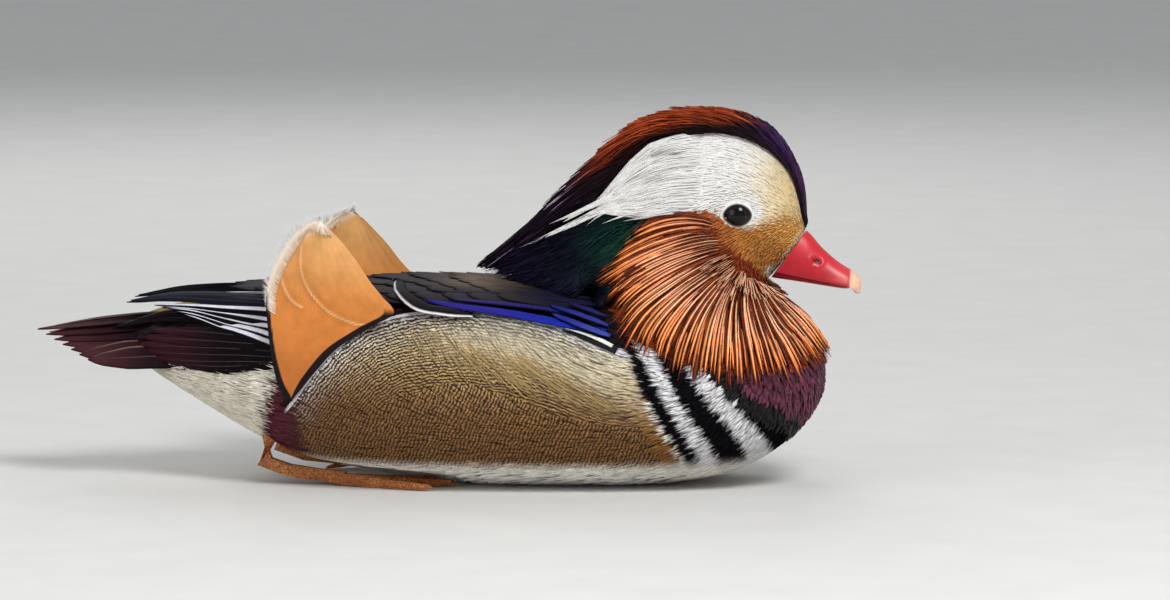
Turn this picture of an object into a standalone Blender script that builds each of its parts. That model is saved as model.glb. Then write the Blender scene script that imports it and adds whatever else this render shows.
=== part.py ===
"""A drake mandarin duck, life size, resting on its belly with its feet tucked under.

Metres, +X towards the bill, +Y to the bird's left, +Z up. Z = 0 is the flat of the belly.
"""

import math

import bmesh
import bpy
import numpy as np
from mathutils import Vector
from mathutils.bvhtree import BVHTree

# The gap that touching pieces keep, and the seed of every small variation
GAP = 0.0003
SEED = 11
# Reach of the blocks that cut pieces off flat, and the fold below which two faces count as one
BLOCK = 0.2
FLAT_ANGLE = math.radians(1.3)

# Torso stations from the breast to the tail root:
# x, top of the back, bottom of the belly, half width, height of the widest point
TORSO = (
    (0.1595, 0.0460, 0.0460, 0.0000, 0.0460),
    (0.1550, 0.0600, 0.0310, 0.0220, 0.0450),
    (0.1450, 0.0700, 0.0190, 0.0350, 0.0440),
    (0.1300, 0.0745, 0.0090, 0.0450, 0.0430),
    (0.1050, 0.0775, 0.0010, 0.0545, 0.0420),
    (0.0700, 0.0800, -0.0015, 0.0610, 0.0420),
    (0.0300, 0.0815, -0.0015, 0.0640, 0.0420),
    (-0.0100, 0.0820, 0.0000, 0.0625, 0.0425),
    (-0.0450, 0.0795, 0.0060, 0.0550, 0.0450),
    (-0.0750, 0.0755, 0.0165, 0.0435, 0.0480),
    (-0.1000, 0.0715, 0.0300, 0.0310, 0.0530),
    (-0.1200, 0.0675, 0.0420, 0.0205, 0.0560),
    (-0.1350, 0.0635, 0.0520, 0.0115, 0.0580),
    (-0.1430, 0.0590, 0.0590, 0.0000, 0.0590),
)
BACK_POWER = 0.77
FLANK_POWER = 0.80
TORSO_SIDES = 26
TORSO_RINGS = 22
TAIL_CUT_X = -0.0880

# The head and neck turn about a pivot just in front of the throat. Stations round it:
# angle in degrees from +X, throat radius, crown or nape radius, half width, egg shape
PIVOT_X, PIVOT_Z = 0.1460, 0.0790
HEAD_NECK = (
    (70, 0.0120, 0.0230, 0.0105, 0.05),
    (80, 0.0125, 0.0320, 0.0135, 0.05),
    (90, 0.0128, 0.0520, 0.0162, 0.10),
    (102, 0.0128, 0.0690, 0.0182, 0.15),
    (116, 0.0127, 0.0810, 0.0197, 0.22),
    (132, 0.0126, 0.0870, 0.0208, 0.32),
    (150, 0.0128, 0.0885, 0.0235, 0.36),
    (168, 0.0118, 0.0880, 0.0310, 0.30),
    (190, 0.0085, 0.0850, 0.0395, 0.15),
    (215, 0.0080, 0.0740, 0.0390, 0.05),
)
HEAD_CUT_ANGLE = 150
HEAD_SIDES = 24
# Towards the bill the face narrows to this share of its width over this distance
FACE_NARROW, FACE_REACH = 0.70, 0.0150

# Outline of the crest about the same pivot: angle in degrees and radius to the plume tips
CREST = (
    (79, 0.0281), (82.3, 0.0398), (89.3, 0.0563), (99.4, 0.0734), (116.6, 0.0880),
    (131.5, 0.0977), (150, 0.1040), (160.8, 0.1110), (169.9, 0.1215), (175.4, 0.1340),
)
# Behind the crown the crest's underside runs straight to this point in the side view
CREST_UNDER_RADIUS = 0.0902
CREST_UNDER_END = (0.0190, 0.0905)
# Rows of crest plumes from the ridge outwards: across at root and tip, depth at the tip
# from the outline (0) to the underside (1), half width, root angles and tip angles
CREST_ROWS = (
    (0.0000, 0.0000, 0.00, 0.0046, (83, 94, 107, 119, 130, 138),
     (103, 120, 137, 153, 166, 175.4)),
    (0.0064, 0.0030, 0.26, 0.0048, (86, 99, 112, 124, 135),
     (108, 127, 145, 160, 171)),
    (0.0122, 0.0066, 0.62, 0.0050, (92, 106, 119, 131), (115, 135, 152, 166)),
)
CREST_THICK = 0.0025
# The white plumes behind the eye: angle and turn round the head at the root, and the tip
BROW_PLUMES = (
    (131, 42, (0.0340, 0.0125, 0.0995)),
    (135, 50, (0.0440, 0.0155, 0.1015)),
    (139, 58, (0.0560, 0.0190, 0.1035)),
)

# The dark plumes of the nape and neck side, in two layers: number a side, angle at the roots,
# lift over the neck, share of the reach; then the turn round the neck, and the line of their tips
NAPE_LAYERS = ((6, 152, 0.0012, 1.00), (5, 155, 0.0034, 0.82))
NAPE_TURN = (14, 86)
NAPE_TIPS = ((0.0290, 0.0040, 0.0895), (0.0380, 0.0160, 0.0880), (0.0520, 0.0290, 0.0835),
             (0.0670, 0.0400, 0.0785))
NAPE_OVER_BACK = 0.0074
NAPE_HALF = 0.0042

# The ruff in the side view, from the nape round to the throat. Each layer: hackle roots,
# share of the full reach, height over the neck, number of hackles a side, and half width
RUFF_TIPS = ((0.0715, 0.0800), (0.0745, 0.0640), (0.0900, 0.0510), (0.1110, 0.0405),
             (0.1290, 0.0360), (0.1460, 0.0430), (0.1570, 0.0545))
RUFF_LAYERS = (
    (((0.0960, 0.0980), (0.0985, 0.0910), (0.1060, 0.0855), (0.1160, 0.0820),
      (0.1270, 0.0805), (0.1380, 0.0768)), 1.00, 0.0012, 12, 0.0036),
    (((0.0975, 0.1040), (0.1050, 0.0990), (0.1130, 0.0945), (0.1210, 0.0905),
      (0.1290, 0.0865), (0.1347, 0.0828)), 0.68, 0.0034, 11, 0.0030),
)

# The bill: where the feathers end at the forehead and at the gape, and its tip
BILL_TOP = (0.1513, 0.1066)
BILL_GAPE = (0.1387, 0.0897)
BILL_TIP = (0.1750, 0.0840)
# Bill stations along the line of the mouth, from the gape to the tip:
# share of the length, height above the mouth or depth below it, half width
UPPER_BILL = (
    (-0.15, 0.0225, 0.0000, 0.0088),
    (0.10, 0.0212, 0.0000, 0.0088),
    (0.25, 0.0189, 0.0000, 0.0085),
    (0.44, 0.0138, 0.0000, 0.0078),
    (0.58, 0.0108, 0.0000, 0.0074),
    (0.70, 0.0087, 0.0000, 0.0071),
    (0.82, 0.0071, 0.0000, 0.0066),
    (0.88, 0.0062, 0.0000, 0.0060),
    (0.94, 0.0050, 0.0022, 0.0046),
    (0.98, 0.0036, 0.0026, 0.0030),
    (1.00, 0.0015, 0.0020, 0.0012),
)
LOWER_BILL = (
    (-0.20, 0.0000, 0.0026, 0.0074),
    (0.00, 0.0000, 0.0023, 0.0072),
    (0.30, 0.0000, 0.0018, 0.0066),
    (0.60, 0.0000, 0.0014, 0.0060),
    (0.78, 0.0000, 0.0011, 0.0050),
    (0.86, 0.0000, 0.0007, 0.0034),
)
BILL_SIDES = 16
# Its section: above 1 narrows towards the culmen, below 1 is fuller than an ellipse
BILL_PEAK, BILL_FULL = 1.15, 0.85
# The nostril: share of the bill's length, height over the mouth, half length, depth and half height
NOSTRIL = (0.42, 0.0082, 0.0023, 0.0024, 0.0011)

# The eye: centre in the side view, ball radius and the opening between the lids
EYE_X, EYE_Z = 0.1235, 0.1142
EYE_RADIUS = 0.0062
EYE_OUT = 0.0022
LID_LONG, LID_TALL, LID_THICK = 0.0062, 0.0050, 0.0009

# The folded wing on the back: its front and rear ends, how far the shoulder reaches in front
# of that, the gap at the spine, and its lower edge as an angle round the body
WING_FRONT, WING_REAR = 0.0570, -0.0560
WING_SHOULDER = 0.0085
WING_SPINE = 0.0008
WING_EDGE_X = (-0.056, -0.030, 0.000, 0.030, 0.050, 0.061, 0.066)
WING_EDGE = (38, 43, 46, 49, 52, 51, 43)
# Its tiers of vanes: across the back at root and tip, length, half width, and root places
WING_TIERS = (
    (0.0395, 0.0385, 0.038, 0.0062, (0.061, 0.047, 0.032, 0.017)),
    (0.0255, 0.0245, 0.046, 0.0082, (0.056, 0.041, 0.025, 0.009)),
    (0.0105, 0.0100, 0.050, 0.0088, (0.050, 0.030, 0.010, -0.012)),
)
# Tertials that reach over the rump: root and tip across, tip x, half width
TERTIALS = ((0.0110, 0.0085, -0.088, 0.0082), (0.0215, 0.0150, -0.084, 0.0074))
WING_TOP = 0.0050
VANE_THICK = 0.0007

# The primaries from the innermost on top (first) to the outermost (last): four places along each,
# as x, angle round the body or distance across, height over the body or above the floor
PRIMARIES = 6
PRIMARY_HALF = 0.0044
PRIMARY_ROOT = (-0.0440, (26, 46), 0.0022)
PRIMARY_SIDE = (-0.0700, (30, 70), (0.0046, 0.0020))
PRIMARY_RUMP = (-0.1000, (0.0215, 0.0290), (0.0800, 0.0715))
PRIMARY_TIP = (-0.1370, (0.0115, 0.0130), (0.0785, 0.0765))
PRIMARY_SHORTER = 0.022
PRIMARY_STEP = 0.0050

# The sail feather in the side view, from its foot to its tip: x and z of its rear and front edges
SAIL_ROWS = (
    (-0.0620, 0.0375, -0.0575, 0.0410),
    (-0.0660, 0.0460, -0.0510, 0.0490),
    (-0.0685, 0.0570, -0.0410, 0.0600),
    (-0.0700, 0.0680, -0.0275, 0.0690),
    (-0.0710, 0.0780, -0.0165, 0.0760),
    (-0.0705, 0.0850, -0.0215, 0.0825),
    (-0.0675, 0.0930, -0.0265, 0.0885),
    (-0.0630, 0.1010, -0.0320, 0.0965),
    (-0.0570, 0.1085, -0.0380, 0.1040),
    (-0.0500, 0.1130, -0.0435, 0.1100),
)
SAIL_THICK = 0.0007
SAIL_FREE_Z = 0.0700
SAIL_CUP = 0.0035
# The right and the left sail differ: share of the height, and how far each leans forward
SAIL_RISE = (1.0, 0.88)
SAIL_LEAN = (0.0, 0.03)

# The tail feathers from the middle one to the outermost: four places along each
TAIL_PAIRS = 5
TAIL_MIDDLE = ((-0.108, 0.0020, 0.0655), (-0.130, 0.0025, 0.0654), (-0.150, 0.0028, 0.0630),
               (-0.1750, 0.0014, 0.0592))
TAIL_OUTER = ((-0.108, 0.0130, 0.0545), (-0.128, 0.0190, 0.0535), (-0.144, 0.0215, 0.0525),
              (-0.1520, 0.0205, 0.0520))
TAIL_HALF = 0.0060

# The hollow over each foot under the flank, and the foot in it
FOOT_WELL_AT = (-0.024, 0.031, -0.001)
FOOT_WELL_REACH = (0.040, 0.020, 0.0090)
LEG_Y = 0.0300
ANKLE = (-0.0740, 0.0260, 0.0085)
TOES_AT = (-0.0400, 0.0300, 0.0034)
TOE_TIPS = ((-0.0040, 0.0150), (0.0020, 0.0300), (-0.0060, 0.0440))


def clear_scene():
    for obj in list(bpy.data.objects):
        bpy.data.objects.remove(obj)


def material(name, colour, roughness=0.6):
    mat = bpy.data.materials.new(name)
    mat.use_nodes = True
    shader = mat.node_tree.nodes["Principled BSDF"]
    shader.inputs["Base Color"].default_value = (*colour, 1.0)
    shader.inputs["Roughness"].default_value = roughness
    mat.diffuse_color = (*colour, 1.0)
    return mat


def smooth(knots, values, at):
    """Monotone cubic through the knots, so that a profile never overshoots its stations."""
    knots, values, at = (np.asarray(a, float) for a in (knots, values, at))
    step = np.diff(knots)
    slope = np.diff(values) / step
    both = slope[:-1] + slope[1:]
    mean = 2 * slope[:-1] * slope[1:] / np.where(np.abs(both) < 1e-12, 1, both)
    inner = np.where(slope[:-1] * slope[1:] > 0, mean, 0)
    tangent = np.concatenate([[slope[0]], inner, [slope[-1]]])
    i = np.clip(np.searchsorted(knots, at) - 1, 0, len(step) - 1)
    u = np.clip((at - knots[i]) / step[i], 0, 1)
    rise = values[i + 1] - values[i]
    return (
        values[i]
        + rise * u * u * (3 - 2 * u)
        + step[i] * u * (1 - u) * ((1 - u) * tangent[i] - u * tangent[i + 1])
    )


def torso_turn(x):
    """The angle whose cosine runs along the torso, which makes both its ends round."""
    front, rear = TORSO[0][0], TORSO[-1][0]
    return np.arccos(np.clip((2 * x - front - rear) / (front - rear), -1, 1))


def torso_skin(x, phi):
    """Points of the torso at x, with phi 0 on the back, 90 degrees on the bird's left."""
    x, phi = np.broadcast_arrays(np.asarray(x, float), np.asarray(phi, float))
    table = np.array(TORSO)
    knots = torso_turn(table[:, 0])
    top, bottom, half, middle = (
        smooth(knots, table[:, k], torso_turn(x)) for k in range(1, 5)
    )
    c, s = np.cos(phi), np.sin(phi)
    y = half * np.sign(s) * np.abs(s) ** FLANK_POWER
    up = middle + (top - middle) * np.abs(c) ** BACK_POWER
    down = middle - (middle - bottom) * np.abs(c) ** FLANK_POWER
    return np.stack([x, y, np.maximum(np.where(c > 0, up, down), 0)], -1)


def neck_skin(angle, psi):
    """Points of the head and neck at an angle in degrees, with psi 0 on the crown or nape."""
    angle, psi = np.broadcast_arrays(np.asarray(angle, float), np.asarray(psi, float))
    table = np.array(HEAD_NECK)
    near, far, half, egg = (
        smooth(table[:, 0], table[:, k], angle) for k in range(1, 5)
    )
    r = (near + far) / 2 + (far - near) / 2 * np.cos(psi)
    turn = np.radians(angle)
    x, z = PIVOT_X + r * np.cos(turn), PIVOT_Z + r * np.sin(turn)
    point, normal = bill_plane(0)
    behind = (point[0] - x) * normal[0] + (point[2] - z) * normal[2]
    near_bill = 1 - np.clip(behind / FACE_REACH, 0, 1)
    narrow = 1 - (1 - FACE_NARROW) * near_bill**2 * (3 - 2 * near_bill)
    y = half * np.sin(psi) * np.exp(-egg * np.cos(psi)) * narrow
    return np.stack([x, y, z], -1)


def raised(skin, a, b, height, step_a, step_b):
    """Points at a height over skin(a, b), along its outward normal."""
    da = skin(a + step_a, b) - skin(a - step_a, b)
    db = skin(a, b + step_b) - skin(a, b - step_b)
    normal = np.cross(da, db)
    normal /= np.maximum(np.linalg.norm(normal, axis=-1, keepdims=True), 1e-12)
    return skin(a, b) + normal * np.asarray(height, float)[..., None]


def on_torso(x, phi, height):
    return raised(torso_skin, np.asarray(x, float), phi, height, 0.0005, 0.01)


def on_neck(angle, psi, height):
    return raised(neck_skin, np.asarray(angle, float), psi, height, -0.5, 0.01)


def make(name, points, faces, mat=None):
    mesh = bpy.data.meshes.new(name)
    mesh.from_pydata([tuple(map(float, p)) for p in points], [], [list(map(int, f)) for f in faces])
    bm = bmesh.new()
    bm.from_mesh(mesh)
    bmesh.ops.recalc_face_normals(bm, faces=bm.faces)
    if bm.calc_volume(signed=True) < 0:
        bmesh.ops.reverse_faces(bm, faces=bm.faces)
    bm.to_mesh(mesh)
    bm.free()
    obj = bpy.data.objects.new(name, mesh)
    bpy.context.scene.collection.objects.link(obj)
    if mat:
        mesh.materials.append(mat)
    return obj


def ring_faces(rows, sides, flipped=()):
    """Triangles between rings. A side in flipped takes the other diagonal, like the face behind it."""
    faces = []
    for i in range(rows - 1):
        for j in range(sides):
            a, b = i * sides + j, i * sides + (j + 1) % sides
            c, d = b + sides, a + sides
            faces += [(a, b, d), (b, c, d)] if j in flipped else [(a, b, c), (a, c, d)]
    return faces


def loft(name, rings, mat=None, start=None, end=None):
    """A closed tube through rings, shut by flat caps or by a pole at start or end."""
    rings = np.asarray(rings, float)
    rows, sides = rings.shape[:2]
    points = list(rings.reshape(-1, 3))
    faces = ring_faces(rows, sides)
    last = (rows - 1) * sides
    for pole, first in ((start, 0), (end, last)):
        tip = len(points)
        points.append(rings[first // sides].mean(0) if pole is None else np.asarray(pole, float))
        faces += [(tip, first + j, first + (j + 1) % sides) for j in range(sides)]
    return make(name, points, faces, mat)


def vane(name, path, half_width, facing, thick):
    """A feather along path: a flat strip, tapering at its tip, split alike on both faces."""
    path = np.asarray(path, float)
    count = len(path)
    along = np.gradient(path, axis=0)
    along /= np.linalg.norm(along, axis=1, keepdims=True)
    facing = np.broadcast_to(np.asarray(facing, float), path.shape)
    side = np.cross(facing, along)
    side /= np.linalg.norm(side, axis=1, keepdims=True)
    up = np.cross(along, side)
    wide = side * np.broadcast_to(half_width, count)[:, None]
    half = up * np.broadcast_to(thick, count)[:, None] / 2
    ring = [-wide + half, wide + half, wide - half, -wide - half]
    rings = np.stack([path + r for r in ring], 1)
    sides = rings.shape[1]
    faces = ring_faces(count, sides, (2,))
    last = (count - 1) * sides
    faces += [tuple(range(sides)), tuple(range(last, last + sides))]
    return make(name, rings.reshape(-1, 3), faces)


def curve(points, count):
    """Count points along a smooth curve through a few hand-placed ones."""
    points = np.asarray(points, float)
    knots = np.concatenate([[0], np.cumsum(np.linalg.norm(np.diff(points, axis=0), axis=1))])
    at = np.linspace(0, knots[-1], count)
    out = []
    for k in range(3):
        slope = np.gradient(points[:, k], knots)
        i = np.clip(np.searchsorted(knots, at) - 1, 0, len(knots) - 2)
        step = knots[i + 1] - knots[i]
        u = (at - knots[i]) / step
        out.append(
            points[i, k] * (1 + 2 * u) * (1 - u) ** 2
            + points[i + 1, k] * u * u * (3 - 2 * u)
            + step * u * (1 - u) * ((1 - u) * slope[i] - u * slope[i + 1])
        )
    return np.stack(out, 1)


def tube(name, path, radius, sides=8, flat=1.0):
    """A round or flattened limb along path. Flat below 1 makes it lower than it is wide."""
    path = np.asarray(path, float)
    along = np.gradient(path, axis=0)
    along /= np.linalg.norm(along, axis=1, keepdims=True)
    side = np.cross([0, 0, 1.0], along)
    side /= np.linalg.norm(side, axis=1, keepdims=True)
    up = np.cross(along, side)
    turn = 2 * np.pi * np.arange(sides) / sides
    radius = np.broadcast_to(radius, len(path))[:, None, None]
    rings = path[:, None] + radius * (
        side[:, None] * np.cos(turn)[None, :, None] + flat * up[:, None] * np.sin(turn)[None, :, None]
    )
    return loft(name, rings)


def plume(name, path, half_width, facing, thick):
    """A tapered lock or hackle along path: flat below, with a low ridge down its middle."""
    path = np.asarray(path, float)
    along = np.gradient(path, axis=0)
    along /= np.linalg.norm(along, axis=1, keepdims=True)
    side = np.cross(np.broadcast_to(facing, path.shape), along)
    side /= np.linalg.norm(side, axis=1, keepdims=True)
    up = np.cross(along, side)
    wide = side * np.asarray(half_width)[:, None]
    high = up * np.asarray(thick)[:, None]
    rings = np.stack([path - wide - high * 0.4, path + high * 0.6, path + wide - high * 0.4], 1)
    count = len(path)
    faces = ring_faces(count, 3)
    last = (count - 1) * 3
    return make(name, rings.reshape(-1, 3), faces + [(0, 1, 2), (last, last + 1, last + 2)])


def surface_tree(obj):
    return BVHTree.FromPolygons(
        [v.co for v in obj.data.vertices], [tuple(p.vertices) for p in obj.data.polygons]
    )


def lifted(points, tree, height):
    """Points moved out until they stand at least height over a closed surface, and its normals there."""
    out, normals = [], []
    for point, least in zip(points, np.broadcast_to(height, len(points))):
        spot, normal, _, _ = tree.find_nearest(Vector(point))
        above = (Vector(point) - spot).dot(normal)
        out.append(point if above > least else np.array(spot + normal * float(least)))
        normals.append(np.array(normal))
    return np.array(out), np.array(normals)


def ball(name, centre, radii, segments=14, rows=8):
    """An ellipsoid with its poles on the Y axis."""
    lat = np.pi * np.arange(1, rows) / rows
    turn = 2 * np.pi * np.arange(segments) / segments
    rings = np.stack(
        [
            centre[0] + radii[0] * np.sin(lat)[:, None] * np.cos(turn),
            centre[1] - radii[1] * np.cos(lat)[:, None] * np.ones(segments),
            centre[2] + radii[2] * np.sin(lat)[:, None] * np.sin(turn),
        ],
        -1,
    )
    centre = np.asarray(centre, float)
    reach = np.array([0, radii[1], 0])
    return loft(name, rings, None, centre - reach, centre + reach)


def mirrored(obj):
    """The same piece on the bird's left."""
    obj.data.transform(((1, 0, 0, 0), (0, -1, 0, 0), (0, 0, 1, 0), (0, 0, 0, 1)))
    obj.data.flip_normals()
    return obj


def boolean(obj, pieces, operation, solver="MANIFOLD"):
    """Joins pieces to obj, or cuts them from it, and removes them."""
    group = bpy.data.collections.new("pieces")
    bpy.context.scene.collection.children.link(group)
    for piece in pieces:
        group.objects.link(piece)
        piece.hide_render = True
        piece.display_type = "WIRE"
    modifier = obj.modifiers.new("join", "BOOLEAN")
    modifier.operation = operation
    modifier.operand_type = "COLLECTION"
    modifier.collection = group
    modifier.solver = solver
    bpy.context.view_layer.update()
    graph = bpy.context.evaluated_depsgraph_get()
    result = bpy.data.meshes.new_from_object(obj.evaluated_get(graph))
    obj.modifiers.remove(modifier)
    obj.data = result
    for piece in pieces:
        bpy.data.objects.remove(piece)
    bpy.data.collections.remove(group)
    keep_largest(obj)
    return obj


def keep_largest(obj):
    """Keeps the largest closed surface, which fills sealed hollows and drops loose scraps."""
    bm = bmesh.new()
    bm.from_mesh(obj.data)
    bmesh.ops.triangulate(bm, faces=bm.faces)
    left = set(bm.faces)
    best, best_volume = set(), -1.0
    while left:
        start = left.pop()
        island, queue = {start}, [start]
        while queue:
            for edge in queue.pop().edges:
                for face in edge.link_faces:
                    if face in left:
                        left.discard(face)
                        island.add(face)
                        queue.append(face)
        volume = abs(
            sum(f.verts[0].co.dot(f.verts[1].co.cross(f.verts[2].co)) for f in island) / 6
        )
        if volume > best_volume:
            best, best_volume = island, volume
    bmesh.ops.delete(bm, geom=[f for f in bm.faces if f not in best], context="FACES")
    bm.to_mesh(obj.data)
    bm.free()


def merge_flat(obj):
    """Joins the flat splinters that a union leaves, and splits the faces into triangles again."""
    bm = bmesh.new()
    bm.from_mesh(obj.data)
    bmesh.ops.dissolve_limit(bm, angle_limit=FLAT_ANGLE, verts=bm.verts, edges=bm.edges)
    bmesh.ops.triangulate(bm, faces=bm.faces)
    bm.to_mesh(obj.data)
    bm.free()


def block_past(point, normal):
    """A large block that fills the space past a plane."""
    normal = np.asarray(normal, float)
    side = np.array([0.0, BLOCK, 0.0])
    along = np.cross(normal, [0, 1, 0]) * BLOCK
    near = [point - side - along, point + side - along, point + side + along, point - side + along]
    far = [corner + normal * BLOCK for corner in near]
    faces = [(0, 1, 2, 3), (4, 5, 6, 7), (0, 1, 5, 4), (1, 2, 6, 5), (2, 3, 7, 6), (3, 0, 4, 7)]
    return make("block", near + far, faces)


def cut_by_plane(obj, point, normal):
    """Removes what lies past a plane."""
    return boolean(obj, [block_past(point, normal)], "DIFFERENCE")


def torso_rings(front, rear, count, height=0.0):
    """Rings of the torso between two places along it, closer together near its ends."""
    turns = np.linspace(torso_turn(front), torso_turn(rear), count)
    first, last = TORSO[0][0], TORSO[-1][0]
    x = (first + last) / 2 + (first - last) / 2 * np.cos(turns)
    phi = 2 * np.pi * np.arange(TORSO_SIDES) / TORSO_SIDES
    if height:
        return on_torso(x[:, None], phi[None, :], np.full((count, TORSO_SIDES), height))
    return torso_skin(x[:, None], phi[None, :])


def torso_solid(name, grown=0.0, mat=None):
    """The body from the breast to the root of the tail, grown outwards for a cutter."""
    front, middle = TORSO[0][0], TORSO[0][4]
    rings = torso_rings(front - 0.0006, TAIL_CUT_X - grown, TORSO_RINGS, grown)
    return loft(name, rings, mat, start=(front + grown, 0, middle))


def torso_angle(x, across):
    """The angle round the torso at which its upper side is this far across."""
    table = np.array(TORSO)
    half = smooth(torso_turn(table[:, 0]), table[:, 3], torso_turn(np.asarray(x, float)))
    return np.arcsin(np.clip(np.asarray(across) / half, 0, 0.99) ** (1 / FLANK_POWER))


def foot_wells(shrunk=0.0):
    """The hollows that the tucked feet press into the belly."""
    middle, reach = np.array(FOOT_WELL_AT), np.array(FOOT_WELL_REACH) - shrunk
    return [ball(f"foot_well_{side}", middle * [1, side, 1], reach) for side in (-1, 1)]


def torso(mat):
    return boolean(torso_solid("torso", 0.0, mat), foot_wells(), "DIFFERENCE")


def torso_clearance():
    """What a piece that touches the torso is cut by."""
    return boolean(torso_solid("torso_clearance", GAP), foot_wells(GAP), "DIFFERENCE")


def side_point(tree, x, z, side):
    """Where a line from far out on one side meets the surface at x and z."""
    hit = tree.ray_cast(Vector((x, side * 0.2, z)), Vector((0, -side, 0)))[0]
    return np.array(hit) if hit else np.array([x, side * 0.002, z])


def neck_rings(first, last, count, shift=0.0):
    angles = np.linspace(first, last, count)
    psi = 2 * np.pi * np.arange(HEAD_SIDES) / HEAD_SIDES
    rings = neck_skin(angles[:, None], psi[None, :])
    turn = math.radians(HEAD_CUT_ANGLE)
    rings += shift * np.array([-math.sin(turn), 0, math.cos(turn)])
    return rings


def neck(mat, torso_tree):
    """The neck, with the hackles of the ruff and the dark plumes of the nape, seated on the torso."""
    body = loft("neck", neck_rings(HEAD_CUT_ANGLE, 215, 8, GAP / 2), mat)
    core = surface_tree(body)
    boolean(body, hackles(core, torso_tree) + nape_plumes(core, torso_tree), "UNION")
    turn = math.radians(HEAD_CUT_ANGLE)
    upward = np.array([math.sin(turn), 0, -math.cos(turn)])
    cut_by_plane(body, np.array([PIVOT_X, 0, PIVOT_Z]) - upward * GAP / 2, upward)
    return boolean(body, [torso_clearance()], "DIFFERENCE")


def along_line(line, share):
    """A place at a share of the way along a line of named points."""
    line = np.array(line)
    knots = np.linspace(0, 1, len(line))
    return np.stack([np.interp(share, knots, line[:, i]) for i in range(line.shape[1])], -1)


def spread(line, tree, side, count):
    """Count places on a surface, evenly spaced along a line given in the side view."""
    fine = np.array([side_point(tree, *along_line(line, t), side) for t in np.linspace(0, 1, 81)])
    run = np.concatenate([[0], np.cumsum(np.linalg.norm(np.diff(fine, axis=0), axis=1))])
    at = np.linspace(0, run[-1], count)
    return np.stack([np.interp(at, run, fine[:, i]) for i in range(3)], 1)


def hackles(core, torso_tree):
    """The ruff: tapered hackles in layers that fan from below the cheek over the breast."""
    rng = np.random.default_rng(SEED)
    width = np.array([0.45, 0.75, 1.00, 0.85, 0.10])
    thick = np.array([0.0014, 0.0014, 0.0013, 0.0011, 0.0003])
    pieces = []
    for side in (-1, 1):
        for roots, reach, height, count, half in RUFF_LAYERS:
            starts = spread(roots, core, side, count)
            ends = spread(RUFF_TIPS, torso_tree, side, count)
            for k, (start, end) in enumerate(zip(starts, ends)):
                end = start + (end - start) * reach * rng.uniform(0.95, 1.03)
                middle = (start + end) / 2 + [0, side * 0.003, 0.001]
                path, facing = lifted(curve([start, middle, end], 5), core, height)
                path, over = lifted(path, torso_tree, height + 0.0012)
                path[0] = start - facing[0] * 0.0022
                pieces.append(plume(f"hackle_{side}_{k}", path, half * width, facing + over, thick))
    return pieces


def nape_plumes(core, torso_tree):
    """Dark plumes from the nape and the side of the neck, lying back over the shoulders."""
    width = NAPE_HALF * np.array([0.60, 0.95, 1.00, 0.66, 0.10])
    thick = np.array([0.0020, 0.0019, 0.0017, 0.0013, 0.0003])
    pieces = []
    for side in (-1, 1):
        for count, root_angle, height, reach in NAPE_LAYERS:
            for k in range(count):
                t = k / (count - 1)
                turn = math.radians(NAPE_TURN[0] + (NAPE_TURN[1] - NAPE_TURN[0]) * t)
                start = neck_skin(root_angle + 8 * t, side * turn)
                tip = along_line(NAPE_TIPS, t) * [1, side, 1]
                tip = start + (tip - start) * reach
                middle = (start + tip) / 2 + [0, side * 0.003, 0.003 * (1 - t)]
                path, facing = lifted(curve([start, middle, tip], 5), core, height)
                over = np.where(path[:, 0] < WING_FRONT + WING_SHOULDER + 0.002, NAPE_OVER_BACK, 0.0030)
                path, _ = lifted(path, torso_tree, over + height * (1 - t))
                path[0] = start - facing[0] * 0.0025
                path[1] -= facing[1] * 0.0008
                face = (0, side * (0.5 + t), 1.2 - t)
                pieces.append(plume(f"nape_{side}_{k}", path, width, face, thick))
    return pieces


def crest_place(angle, across, depth):
    """A place in the crest: depth runs from its outline (0) to the crown or its underside (1)."""
    table, line = np.array(HEAD_NECK), np.array(CREST)
    near, far, half = (smooth(table[:, 0], table[:, k], angle) for k in (1, 2, 3))
    lower = (near + far) / 2 + (far - near) / 2 * np.sqrt(1 - np.minimum(across / half, 0.98) ** 2)
    outer = smooth(line[:, 0], line[:, 1], angle)
    turn = np.radians(angle)
    end = np.array(CREST_UNDER_END) - [PIVOT_X, PIVOT_Z]
    cut = math.radians(HEAD_CUT_ANGLE)
    begin = CREST_UNDER_RADIUS * np.array([math.cos(cut), math.sin(cut)])
    slope = (end - begin) / np.linalg.norm(end - begin)
    under = (begin[0] * slope[1] - begin[1] * slope[0]) / (
        np.cos(turn) * slope[1] - np.sin(turn) * slope[0]
    )
    behind = np.clip((angle - HEAD_CUT_ANGLE + 8) / 8, 0, 1)
    lower = lower * (1 - behind) + np.maximum(lower, under) * behind
    r = outer + (np.minimum(lower, outer) - outer) * depth
    return np.stack([PIVOT_X + r * np.cos(turn), across, PIVOT_Z + r * np.sin(turn)], -1)


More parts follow.
